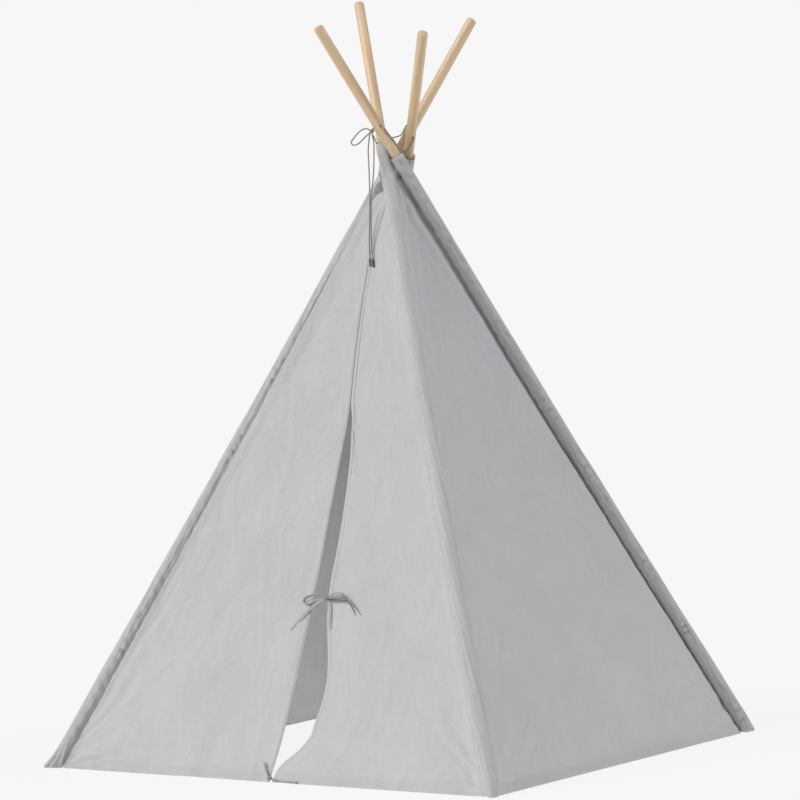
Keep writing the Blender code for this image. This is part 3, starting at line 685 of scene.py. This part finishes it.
def addSleeve(corner, shape, seed):
    # a tube round the pole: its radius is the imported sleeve's, plus slack, puckers by the seams and a ridge at
    # each seam. It ends in a pleated foot drawn out to a toe, and at the mouth it turns over the rim and runs down
    # inside.
    foot, along = poleLine(corner)
    upward, sideways = poleAxes(corner)
    middle, top, outer = footMiddle(corner), sleeveTop(corner) + shape["longer"][corner], tent["footRadius"]
    inner = outer - shape["wall"]
    footAngles = np.radians(np.linspace(-89, 0, 22))[:-1]
    distance = np.concatenate([
        middle + outer * np.sin(footAngles), np.linspace(middle, top, shape["rows"]),
        np.linspace(top, middle, shape["insideRows"])[1:], middle + inner * np.sin(footAngles[::-1])])
    outside = len(footAngles) + shape["rows"]
    inside = (np.arange(len(distance)) >= outside).astype(float)
    radius = sleeveRadiusAt(corner, distance * along[2])
    radius[:len(footAngles)] = outer * np.cos(footAngles)
    radius[-len(footAngles):] = outer * np.cos(footAngles[::-1])
    rim = np.clip((top - distance) / 0.0015, 0, 1)
    radius = radius - inside * shape["wall"] * (0.4 + 0.6 * rim)
    angle = 2 * math.pi * np.arange(shape["sides"]) / shape["sides"]
    d, a = distance[:, None], angle[None, :]
    x, y = 3 * np.cos(a) + 10, 3 * np.sin(a) + 10
    slack = softNoise(x + 0 * d, d * 14 + y, seed) + 0.6 * softNoise(x * 2 + d * 9, d * 33 + y * 2, seed + 3)
    change = shape["slack"] * (0.4 + slack)
    away = np.full(a.shape, 9.0)
    for seam in sleeveSeams(corner):
        turn = np.abs((a - seam + math.pi) % (2 * math.pi) - math.pi)
        away = np.minimum(away, turn)
    beat = d / shape["puckerPitch"] + 0.8 * softNoise(d * 12, 0 * d + seed, seed + 5)
    change = change + shape["pucker"] * np.sin(2 * math.pi * beat + 1.5 * a) * np.exp(-((away - 0.75) / 0.55) ** 2)
    ridge = shape["seamRidge"] * np.exp(-(away / shape["seamWidth"]) ** 2)
    pleat = np.cos(shape["pleats"] * a + 2 * np.sin(a) + shape["pleatTwist"] * (d - middle))
    pleat = shape["pleatDepth"][corner] * pleat * smoothStep(middle + 0.05, middle - 0.004, d)
    mouth = shape["mouthFlare"] * smoothStep(top - 0.045, top, d) * (0.45 + 0.55 * np.cos(a - 2.2 - seed))
    level = np.clip(radius / tent["sleeveRadius"], 0, 1)[:, None]
    full = radius[:, None] + (change + pleat + np.maximum(mouth, 0)) * level + ridge * level
    floorOf = tent["poleRadius"] + 0.0008 - 0.0005 * inside[:, None]
    full = np.where(d > middle, np.maximum(full, floorOf), full)
    points = foot + d[..., None] * along + full[..., None] * (
        np.cos(a)[..., None] * upward + np.sin(a)[..., None] * sideways)
    # the cloth of the foot is folded outward along the floor
    outward = np.array([*foot[:2], 0.0]) / np.linalg.norm(foot[:2])
    facing = np.clip(((points - foot - along * middle) @ outward) / outer, 0, 1)
    toe = smoothStep(shape["toeHeight"], 0.0, points[..., 2]) * smoothStep(0.0, 1.0, facing)
    points = points + outward * (shape["toe"][corner] * toe)[..., None]
    points[..., 2] = np.maximum(points[..., 2] * (1 - shape["toeFlat"] * toe), 0.0002 + shape["wall"] * inside[:, None])
    travelled = travel(np.stack([distance, radius], -1))
    toSeam, toMouth = away * tent["sleeveRadius"] + 0 * d, np.abs(top - d) + 0 * a
    name = "sleeve_" + corner
    mesh = closedTube(name + "_cloth", points, points[[0, -1]].mean(1), travelled, 2 * math.pi * tent["sleeveRadius"],
                      {"sewnEdge": np.append(toSeam, [1.0, 1.0]), "hemEdge": np.append(toMouth, [1.0, 1.0])})
    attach(addPiece(name + "_cloth", mesh, "canvas", [name]), legOf[corner])


for number, corner in enumerate(cornerShares):
    addSleeve(corner, sleeveShape, 11 + 7 * number)
print("sleeves: 4")


# Walls and the door face
clothShape = {
    "thin": 0.0009, "hem": 0.0020, "hemHeight": 0.020, "sag": 0.012, "gather": 0.003, "gatherLength": 0.16,
    "seamPucker": 0.0013, "seamPuckerPitch": 0.038, "crumple": 0.0034, "footPull": 0.0022, "tuck": 0.0030,
    "ripple": 0.0009, "rippleWidth": 0.034, "hemCrease": 0.0040, "hemCreaseWidth": 0.0042,
    "hemBand": (0.0212, 0.0198), "flapHemBand": (0.0215, 0.0195), "columns": (8, 120, 14), "slantColumn": 60}


def acrossShares(width, low, high, lowSteps, middleSteps, highSteps):
    # shares across each row: fixed steps in metres beside its two edges, even steps between them
    lowBand, highBand = np.minimum(low, 0.2 * width)[:, None], np.minimum(high, 0.2 * width)[:, None]
    whole = width[:, None]
    first = lowBand * np.linspace(0, 1, lowSteps, endpoint=False)
    middle = lowBand + (whole - lowBand - highBand) * np.linspace(0, 1, middleSteps, endpoint=False)
    last = whole - highBand * np.linspace(1, 0, highSteps)
    return np.concatenate([first, middle, last], 1) / whole


def clothRelief(shape, left, right, height, seed, amount=1.0):
    # small outward relief of hung cloth, from distances to its two side edges and its height:
    # soft crumples everywhere, and puckers across each sewn edge that fade away from it
    x = left - right
    relief = amount * shape["crumple"] * (
        0.60 * softNoise(x * 3.4 + 5, height * 4.2, seed)
        + 0.40 * softNoise(x * 8 + height * 3, height * 9 - x * 2, seed + 1)
        + 0.34 * (creaseNoise(x * 11 + 9 * height, height * 7, seed + 2) ** 3 - 0.3)
        + 0.16 * (creaseNoise(x * 24 - 15 * height, height * 17 + 6 * x, seed + 3) ** 4 - 0.25))
    for edge, shift in ((left, 0.0), (right, 0.4)):
        beat = height / shape["seamPuckerPitch"] + 1.3 * softNoise(height * 9, 0 * height + shift, seed + 4) + shift
        strength = 0.45 + 0.55 * softNoise(height * 6, 0 * height + 3, seed + 6)
        pucker = np.sin(2 * math.pi * beat + edge * 40) * np.exp(-edge / 0.022)
        relief = relief + shape["seamPucker"] * strength * pucker
        # long soft ripples that run beside the sewn edge
        wave = np.sin(edge * 2 * math.pi / shape["rippleWidth"] + 2.2 * softNoise(height * 5, edge * 9, seed + 7))
        swell = 0.5 + softNoise(height * 3.3, edge * 2, seed + 9)
        relief = relief + shape["ripple"] * wave * np.exp(-edge / 0.07) * swell
    return relief


def footPulls(shape, distance, height, strength, seed):
    # creases that fan out of a foot: a sine of the angle round the foot, fading with distance from it
    angle = np.arctan2(height, distance + 0.02)
    reach = np.hypot(height, distance)
    wave = np.sin(15 * angle + 3 * softNoise(reach * 9, angle * 3, seed))
    return shape["footPull"] * strength * wave * np.exp(-reach / 0.20) * smoothStep(0.0, 0.06, reach)


def hemCrease(shape, distance, height, seed):  # a soft crease just above the hem, deepest near the corner
    pulled = (0.5 + 0.5 * softNoise(distance * 5, 0 * height + 2, seed + 12)) * (0.5 + 0.7 * np.exp(-distance / 0.15))
    away = (height - shape["hemHeight"] - 0.002 - 0.02 * smoothStep(0.1, 0.6, distance)) / shape["hemCreaseWidth"]
    return shape["hemCrease"] * pulled * np.exp(-away ** 2)


def wallHeights(top):  # rows crowd at the hem's folded edge
    hemRows = np.linspace(tent["hemLift"], 0.0185, 7), [0.0195, 0.0205, 0.0215]
    return np.concatenate([*hemRows, np.linspace(0.026, top, 190)])


def addSheet(name, points, band, normal, uv, toEdge, height):  # cloth along its middle surface, thicker in the band
    thickness = clothShape["thin"] + (clothShape["hem"] - clothShape["thin"]) * band
    distances = {"sewnEdge": toEdge, "hemEdge": height - tent["hemLift"]}
    mesh = sheetMesh(name + "_cloth", points, thickness, normal, uv, distances)
    return addPiece(name + "_cloth", mesh, "canvas", [name])


# the sleeve beside the right wall is sewn wider than its pole; its slack shows most near the top
sleevePocket = {
    "heights": (0.0, 0.30, 0.60, 0.80, 0.95, 1.08, 1.17, 1.23, 1.262),
    "reach": (0.0170, 0.0170, 0.0175, 0.0162, 0.0165, 0.0155, 0.0178, 0.0165, 0.0150),
    "blend": (0.016, 0.016, 0.018, 0.020, 0.024, 0.026, 0.024, 0.015, 0.004), "flank": 0.010,
    "slot": (0.0070, 0.0070, 0.0075, 0.0070, 0.0035, 0.0010, 0.0005, 0.0, 0.0), "slotWidth": 0.0020,
    "topGather": 0.030, "topGatherHeights": (1.250, 1.258)}


def pocketFold(right, height, radius, flank):
    # The cloth runs straight from where it is tangent to the sleeve to a valley, which lies at the given reach from
    # the pole's middle on the corner's diagonal. Beyond the valley the wall eases back to its own plane.
    # Gives the distance from the pole's middle and the depth.
    reach, blend = (np.interp(height, sleevePocket["heights"], sleevePocket[key]) for key in ("reach", "blend"))
    turn = np.arccos(np.clip(radius / reach, 0, 1)) - math.pi / 4
    valley = np.maximum(reach, radius) * math.sqrt(0.5)
    along = np.clip(right / flank, 0, 1)
    easing = 1 - smoothStep(0, 1, (right - flank) / blend)
    away = np.where(right < flank, radius * np.cos(turn) * (1 - along) + valley * along,
                    radius + right + (valley - radius - flank) * easing)
    depth = np.where(right < flank, radius * np.sin(turn) * (1 - along) - valley * along, -valley * easing)
    slot = np.interp(height, sleevePocket["heights"], sleevePocket["slot"])  # a narrow groove along the valley
    return away, depth - slot * np.exp(-((right - flank) / sleevePocket["slotWidth"]) ** 2)


def edgeTurn(near, height, table):
    # from a line at the given width the cloth runs straight to the sleeve and meets it turned round the pole by an
    # angle in degrees, negative in front. Gives how far it moves toward the pole, and the depth.
    heights, widths, angles = table
    left = 1 - np.clip(near / np.interp(height, heights, widths), 0, 1)
    turn = np.radians(np.interp(height, heights, angles))
    return tent["sleeveRadius"] * left * (1 - np.cos(turn)), -tent["sleeveRadius"] * left * np.sin(turn)


def addWall(name, shape, pulls, seed, fold=False, hemPull=0.0, amount=1.0):
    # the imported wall's middle surface: the flat web between the sleeves, bellied in, gathered near the top,
    # with the crumples and puckers of hung cloth added
    face = walls[name]
    height = wallHeights(wallTops[name])
    low, high = webLimits(face, height)
    width = faceWidth(face, height) * (high - low)
    across = acrossShares(width, 0.014, 0.014, *shape["columns"])
    h = height[:, None] + 0 * across
    share = low[:, None] + (high - low)[:, None] * across
    middle = 4 * across * (1 - across)
    rise = h / tent["wallTop"]
    depth = -shape["sag"] * middle * 4 * rise * np.maximum(1 - rise, 0)
    gather = smoothStep(tent["wallTop"] - shape["gatherLength"], tent["wallTop"], h)
    depth += shape["gather"] * gather * np.sin(4 * math.pi * across) * middle * np.clip(width / 0.06, 0, 1)[:, None]
    left, right = across * width[:, None], (1 - across) * width[:, None]
    if fold:
        radius = (sleeveRadiusAt(face[1], height) + tent["seamClearance"])[:, None]
        flank = np.minimum(sleevePocket["flank"], 0.3 * width)[:, None]
        away, behind = pocketFold(right, h, radius, flank)
        depth += behind
        share = share + (radius + right - away) / faceWidth(face, height)[:, None]
    held = smoothStep(0, 0.02, np.minimum(left, right))
    depth += clothRelief(shape, left, right, h, seed, amount) * held
    depth -= hemPull * np.sin(math.pi * across ** 0.75) * np.exp(-h / 0.25)
    for number, edge in enumerate((left, right)):
        depth += footPulls(shape, edge, h, pulls[number], seed + 8 + number) * held
    depth -= shape["tuck"] * (np.exp(-left / 0.004) + np.exp(-right / 0.004))
    depth -= hemCrease(shape, left, h, seed) * held
    if fold:  # the top, between the two sleeves, is gathered in
        depth -= sleevePocket["topGather"] * smoothStep(*sleevePocket["topGatherHeights"], h)
    normal = webNormal(face, height)[:, None]
    points = webPoint(face, share, h) + normal * depth[..., None]
    slant = travel(points[:, shape["slantColumn"]])
    uv = np.stack([left - width[:, None] / 2, slant[:, None] + 0 * left], -1)
    band = smoothStep(*shape["hemBand"], h)
    piece = addSheet(name, points, band, normal, uv, np.minimum(left, right), h)
    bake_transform(piece)


addWall("wall_left_back", clothShape, (0.6, 0.8), 101, hemPull=0.045)
addWall("wall_right_back", clothShape, (0.8, 0.8), 131)
addWall("wall_right_front", clothShape, (0.7, 1.6), 161, fold=True, amount=0.8)
print("walls: 3")

# the slit's two edges: shares of the way up it, and shares across the door face
slitEdges = {
    "left": (
        (0.0, 0.512), (0.10, 0.522), (0.27, 0.532), (0.45, 0.5395), (0.60, 0.5445), (0.75, 0.5475), (0.87, 0.553),
        (0.95, 0.558), (1.0, 0.561)),
    "right": (
        (0.0, 0.517), (0.030, 0.520), (0.045, 0.5265), (0.062, 0.542), (0.08, 0.560), (0.097, 0.573), (0.12, 0.584),
        (0.17, 0.5965), (0.22, 0.608), (0.28, 0.614), (0.34, 0.6085), (0.40, 0.599), (0.45, 0.590), (0.51, 0.586),
        (0.57, 0.5865), (0.626, 0.592), (0.70, 0.597), (0.80, 0.599), (0.90, 0.597), (1.0, 0.580))}
doorShape = {
    "seamShare": 0.566, "seamTopShare": 0.46, "seamReach": 0.045, "top": 1.300, "seamGap": 0.0021, "belly": 0.005,
    "edgeHem": 0.008, "edgeRoll": 0.0018, "topTuck": 0.006, "topTuckStart": 1.15, "creaseDepth": 0.012,
    "creaseStart": (1.155, 1.195), "creaseWidth": 0.0028, "groove": 0.0013,
    "foldDepth": 0.0045, "foldHeight": 0.078, "foldWidth": 0.016, "flapRows": (150, 1.0), "panelRows": (170, 1.15),
    "columns": 90, "leastFill": 0.31, "slope": 1.07,
    "drape": {"height": 1.256, "slope": 0.6, "reach": 0.060, "bulge": 0.020, "top": (1.275, 1.312), "dip": 0.014,
              "dipLength": 0.022}}
# heights, widths and angles at which the door face meets its two sleeves
doorEdges = {
    "left": ((0.05, 0.42, 0.72, 1.00, 1.15, 1.235), (0.012, 0.013, 0.032, 0.036, 0.030, 0.022),
             (-8, -26, -34, -46, -52, -55)),
    "right": ((0.05, 0.80, 1.08, 1.14, 1.19, 1.262), (0.020, 0.020, 0.020, 0.014, 0.012, 0.012),
              (-22, -30, -28, -10, -5, 10))}


def smoothTable(table, value):
    # the slit's edge: straight lines between the rows of its table, then averaged over a short stretch
    rows = np.array(table)
    reach = 0.022 * np.clip((1 - value) / 0.03, 0, 1)
    around = [np.interp(value + share * reach, rows[:, 0], rows[:, 1]) for share in np.linspace(-1, 1, 9)]
    return np.mean(around, axis=0)


def innerEdge(side, height):
    # share across the door face of this half's inner edge: the slit's edge below its top, the seam above it
    sign = -1 if side == "left" else 1
    table = slitEdges[side]
    low = smoothTable(table, (height - tent["hemLift"]) / (tent["slitTop"] - tent["hemLift"]))
    rise = (height - tent["slitTop"]) / (tent["wallTop"] - tent["slitTop"])
    high = doorShape["seamShare"] + (doorShape["seamTopShare"] - doorShape["seamShare"]) * rise
    above = smoothStep(doorShape["seamReach"], 0.0, height - tent["slitTop"])
    high = high + (table[-1][1] - doorShape["seamShare"]) * above
    shift = sign * doorShape["seamGap"] / 2 / faceWidth(doorFace, height)
    return np.where(height < tent["slitTop"], low, high) + shift


def doorPatch(side, outer, inner, rows, middleColumns):
    # rows fan out from heights at the sleeve to heights at the slit or the seam
    outerHeight, innerHeight = np.interp(rows, [0, 1], outer), np.interp(rows, [0, 1], inner)
    left, right = webLimits(doorFace, outerHeight)
    sleeveShare = left if side == "left" else right
    slitShare = innerEdge(side, innerHeight)
    ends = webPoint(doorFace, sleeveShare, outerHeight), webPoint(doorFace, slitShare, innerHeight)
    width = length3(ends[1] - ends[0])
    across = acrossShares(width, 0.014, 0.016, 7, middleColumns, 14)
    share = sleeveShare[:, None] + (slitShare - sleeveShare)[:, None] * across
    return share, outerHeight[:, None] + (innerHeight - outerHeight)[:, None] * across, across


def drapeRelief(drape, fromFront, width, height):
    # near its top the cloth drawn round the front pole's sleeve bulges out and lies over the face below it, along an
    # edge that slants down away from the sleeve; under that edge the face dips
    below = drape["height"] - drape["slope"] * np.minimum(fromFront, drape["reach"]) - height
    over = smoothStep(0.0020, -0.0020, below) * (1 - smoothStep(*drape["top"], height))
    across = np.clip(fromFront / width, 0, 1)
    bulge = drape["bulge"] * over * across ** 0.35 * (1 - across) / 0.464
    near = smoothStep(2.0 * drape["reach"], drape["reach"], fromFront)
    return bulge - drape["dip"] * near * np.exp(-np.maximum(below, 0) / drape["dipLength"]) * (below > 0)


def gatherTo(piece, side):  # gives one half of the door, or one of its ties, its own copy of its mesh, and returns the pole on that half's side
    corner = "left" if side == "left" else "front"
    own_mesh(piece)
    return corner


def addDoorPiece(name, side, outer, inner, body, seed, flap):
    shape = clothShape
    count, crowding = doorShape["flapRows" if flap else "panelRows"]
    rows = np.linspace(0, 1, count) ** crowding
    share, height, across = doorPatch(side, outer, inner, rows, doorShape["columns"])
    up = rows[:, None]
    webWidth = faceWidth(doorFace, height)
    left, right = webLimits(doorFace, height)
    sign, sleeveShare = (1, left) if side == "left" else (-1, right)
    toSleeve = np.maximum(sign * (share - sleeveShare) * webWidth, 0)
    toSlit = np.maximum(sign * (innerEdge(side, height) - share) * webWidth, 0)
    if flap:
        depth = doorShape["belly"] * np.sin(math.pi * up) ** 2 * np.sin(math.pi * across)
        if side == "right":  # a soft level fold low on the right flap
            fold = np.exp(-((height - doorShape["foldHeight"] - 0.02 * across) / doorShape["foldWidth"]) ** 2)
            depth = depth - doorShape["foldDepth"] * fold * smoothStep(0.25, 0.7, across)
    else:
        depth = -doorShape["topTuck"] * smoothStep(doorShape["topTuckStart"], tent["wallTop"], height)
        depth = depth * smoothStep(0, 0.03, toSleeve)
    held = smoothStep(0, 0.02, np.minimum(toSleeve, toSlit))
    depth = depth + clothRelief(shape, toSleeve, 0.5 + toSlit, height, seed, 1.5) * held
    depth = depth + footPulls(shape, toSleeve, height, 0.9, seed + 8) * held
    depth = depth - shape["tuck"] * (0.25 if side == "left" else 1.0) * np.exp(-toSleeve / 0.004)
    if flap:
        depth = depth - hemCrease(shape, toSleeve, height, seed) * held
    else:
        depth = depth + drapeRelief(doorShape["drape"], (right - share) * webWidth, (right - left) * webWidth, height)
    if side == "right":
        crease = doorShape["creaseDepth"] * smoothStep(*doorShape["creaseStart"], height)
        depth = depth - crease * np.exp(-toSleeve / doorShape["creaseWidth"])
        groove = doorShape["groove"] * smoothStep(0.30, 0.60, height)
        depth = depth - groove * np.exp(-((toSlit - doorShape["edgeHem"] - 0.0006) / 0.0011) ** 2)
    toPole, behind = edgeTurn(toSleeve, height, doorEdges[side])
    depth = depth + behind
    share = share - sign * toPole / webWidth
    depth = depth - doorShape["edgeRoll"] * np.exp(-((toSlit / 0.0022) ** 2))
    normal = webNormal(doorFace, height)
    points = webPoint(doorFace, share, height) + normal * depth[..., None]
    band = np.maximum(smoothStep(doorShape["edgeHem"] + 0.0012, doorShape["edgeHem"], toSlit),
                      smoothStep(*shape["flapHemBand"], height) if flap else 0 * height)
    uv = np.stack([(share - 0.5) * webWidth, height * doorShape["slope"]], -1)
    piece = addSheet(name, points, band, normal, uv, np.minimum(toSleeve, toSlit), height)
    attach(piece, body)
    corner = gatherTo(piece, side)


for side, leg, seed in (("left", "left_leg", 201), ("right", "front_leg", 231)):
    addDoorPiece("front_panel_" + side, side, (tent["flapRoot"], doorShape["top"]), (tent["slitTop"], doorShape["top"]),
                 leg, seed, flap=False)
    addDoorPiece("door_flap_" + side, side, (tent["hemLift"], tent["flapRoot"]), (tent["hemLift"], tent["slitTop"]),
                 "flap_" + side, seed, flap=True)
print("door face: 2 panels, 2 flaps")


# Door ties: canvas tape, tied in a bow half way up and in a knot at the hem
tapeShape = {"width": tapeLook["tapeWidth"], "thickness": 0.0013, "step": 0.0012, "sides": 16, "knotSize": 0.0050,
             "knotTilt": 1.2, "knotStep": 0.001, "tubeRadius": 0.0016}
# each strip's route, and how many degrees its flat side is turned from the door
tieRoutes = {
    "bowLoop_left": (((715, -4214, 3673), (605, -4237, 3720), (461, -4249, 3737), (310, -4253, 3688),
        (242, -4258, 3612), (310, -4259, 3555), (426, -4241, 3581), (536, -4215, 3632), (685, -4208, 3660)), 72),
    "bowLoop_right": (((768, -4218, 3667), (911, -4240, 3734), (1061, -4253, 3796), (1210, -4270, 3788),
        (1326, -4281, 3705), (1258, -4273, 3633), (1098, -4240, 3655), (924, -4224, 3658), (774, -4209, 3662)), 68),
    "bowTail_left": (((742, -4218, 3666), (593, -4262, 3591), (440, -4285, 3477), (248, -4345, 3270),
        (133, -4387, 3142), (21, -4430, 3013)), 22),
    "bowTail_right": (((776, -4230, 3664), (1003, -4266, 3697), (1220, -4286, 3744), (1377, -4284, 3670),
        (1503, -4290, 3570), (1630, -4313, 3469), (1740, -4339, 3371)), 50),
    "bowTail_short": (((762, -4210, 3657), (1021, -4256, 3634), (1240, -4282, 3666), (1373, -4274, 3607),
        (1486, -4297, 3505), (1589, -4337, 3367)), 60),
    "bowTape_right": (((791, -4215, 3646), (873, -4243, 3580), (921, -4281, 3460), (954, -4344, 3281),
        (996, -4421, 3061)), 4),
    "hemTail_up": (((149, -5511, 87), (87, -5505, 161), (19, -5471, 255), (-29, -5428, 341), (-79, -5399, 393)), 35),
    "hemTail_along": (((156, -5514, 79), (290, -5520, 66), (469, -5525, 47), (668, -5525, 40), (839, -5520, 45)), 55)}
tapeLeftRoute = ((458, -4230, 3561), (532, -4229, 3591), (623, -4230, 3623), (713, -4227, 3653))


def tapeMesh(name, points, width, thickness, turnDegrees):
    # a flat rounded strip carried along the route, turned about it by a fixed angle from lying on the door
    path, places = smoothRoute(points, tapeShape["step"])
    normals, across = routeFrames(path, webNormal(doorFace, np.array(0.3)))
    turn = math.radians(turnDegrees)
    flat = across * math.cos(turn) + normals * math.sin(turn)
    lift = normals * math.cos(turn) - across * math.sin(turn)
    angle = 2 * math.pi * np.arange(tapeShape["sides"]) / tapeShape["sides"]
    x = width / 2 * np.sign(np.cos(angle)) * np.abs(np.cos(angle)) ** 0.5
    y = thickness / 2 * np.sin(angle) + 0.12 * width * ((x / (width / 2)) ** 2 - 0.5)
    rings = path[:, None] + x[None, :, None] * flat[:, None] + y[None, :, None] * lift[:, None]
    mesh = closedTube(name, rings, path[[0, -1]], places, 2 * width)
    mesh.set_sharp_from_angle(angle=math.radians(70))
    return mesh, bent(path)


def addTape(name, points, turn, side, replaced):
    mesh, path = tapeMesh(name, inMetres(points), tapeShape["width"], tapeShape["thickness"], turn)
    piece = addPiece(name, mesh, "tape", replaced)
    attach(piece, "flap_" + side)
    gatherTo(piece, side)


def addDoorTies():
    for name, (route, turn) in tieRoutes.items():
        addTape(name, route, turn, "right", [])
    addTape("doorTape_left", tapeLeftRoute, 0, "left", ["door_tie_left"])
    for name, middle, replaced in (("bowKnot", (0.0750, -0.4224, 0.3663), ["door_tie_bow"]),
                                   ("hemKnot", (0.0152, -0.5514, 0.0085), ["hem_tie"])):
        route = knotRoute(middle, tapeShape["knotSize"], tapeShape["knotTilt"])
        mesh = tubeMesh(name, route, tapeShape["tubeRadius"], tapeShape["knotStep"], sides=12)[0]
        piece = addPiece(name, mesh, "tape", replaced)
        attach(piece, "flap_right")
        gatherTo(piece, "right")


addDoorTies()
print("ties: bow, hem knot and tapes")


# Floor and light
studio = {
    "floor": (0.06, 0.06, 0.06, 1), "floorDark": (0.05, 0.05, 0.05, 1), "floorReach": 60,
    "floorGlow": (1.0, 1.0, 1.0, 1), "floorGlowStrength": 0.71, "floorSeen": 0.170,
    "fill": (1.0, 1.0, 1.01, 1), "fillStrength": 0.34, "backdrop": (0.93, 0.93, 0.93, 1)}
suns = {
    "keySun": {"from": (-0.38, -0.74, 0.56), "strength": 2.17, "angle": 30.0, "colour": (1.0, 0.99, 0.975)},
    "sideSun": {"from": (0.80, 0.42, 0.42), "strength": 1.08, "angle": 28.0, "colour": (0.98, 0.99, 1.0)}}


def addStudio(look):
    mesh = bpy.data.meshes.new("studioFloor")
    reach = look["floorReach"]
    corners = [(-reach, -reach, 0), (reach, -reach, 0), (reach, reach, 0), (-reach, reach, 0)]
    mesh.from_pydata(corners, [], [(0, 1, 2, 3)])
    floor = addObject("studioFloor", mesh)
    material, tree, shader = newMaterial("studioFloor", {"Roughness": 0.9, "Specular IOR Level": 0.0})
    paper = noise(addNode(tree, "TexCoord").outputs["Object"], 3.0, 2.0)
    # the floor lights the tent less than it shows to the camera
    shown = addNode(tree, "LightPath").outputs["Is Camera Ray"]
    setInputs(tree, shader, {
        "Base Color": mixColour(maths("MULTIPLY", paper, 0.05), look["floor"], look["floorDark"]),
        "Emission Color": look["floorGlow"],
        "Emission Strength": maths("MULTIPLY_ADD", shown, look["floorSeen"], look["floorGlowStrength"])})
    mesh.materials.append(material)
    # the world fills the shade softly; where the camera sees past the floor it is as pale as the floor
    world = bpy.data.worlds.new("studioWorld")
    world.use_nodes = True
    tree = world.node_tree
    fill = tree.nodes["Background"]
    fill.inputs[0].default_value, fill.inputs[1].default_value = look["fill"], look["fillStrength"]
    backdrop = addNode(tree, "Background", {"Color": look["backdrop"], "Strength": 1.0})
    seen = addNode(tree, "LightPath").outputs["Is Camera Ray"]
    mixed = addNode(tree, "MixShader", {0: seen, 1: fill.outputs[0], 2: backdrop.outputs[0]})
    tree.links.new(mixed.outputs[0], tree.nodes["World Output"].inputs["Surface"])
    bpy.context.scene.world = world
    bpy.context.scene.view_settings.view_transform = "Standard"


def addSun(name, look):
    data = bpy.data.lights.new(name, "SUN")
    data.energy, data.angle, data.color = look["strength"], math.radians(look["angle"]), look["colour"]
    light = addObject(name, data)
    light.rotation_mode = "QUATERNION"
    light.rotation_quaternion = Vector(look["from"]).to_track_quat("Z", "Y")


addStudio(studio)
for name, look in suns.items():
    addSun(name, look)

print("light: %d suns" % len(suns))
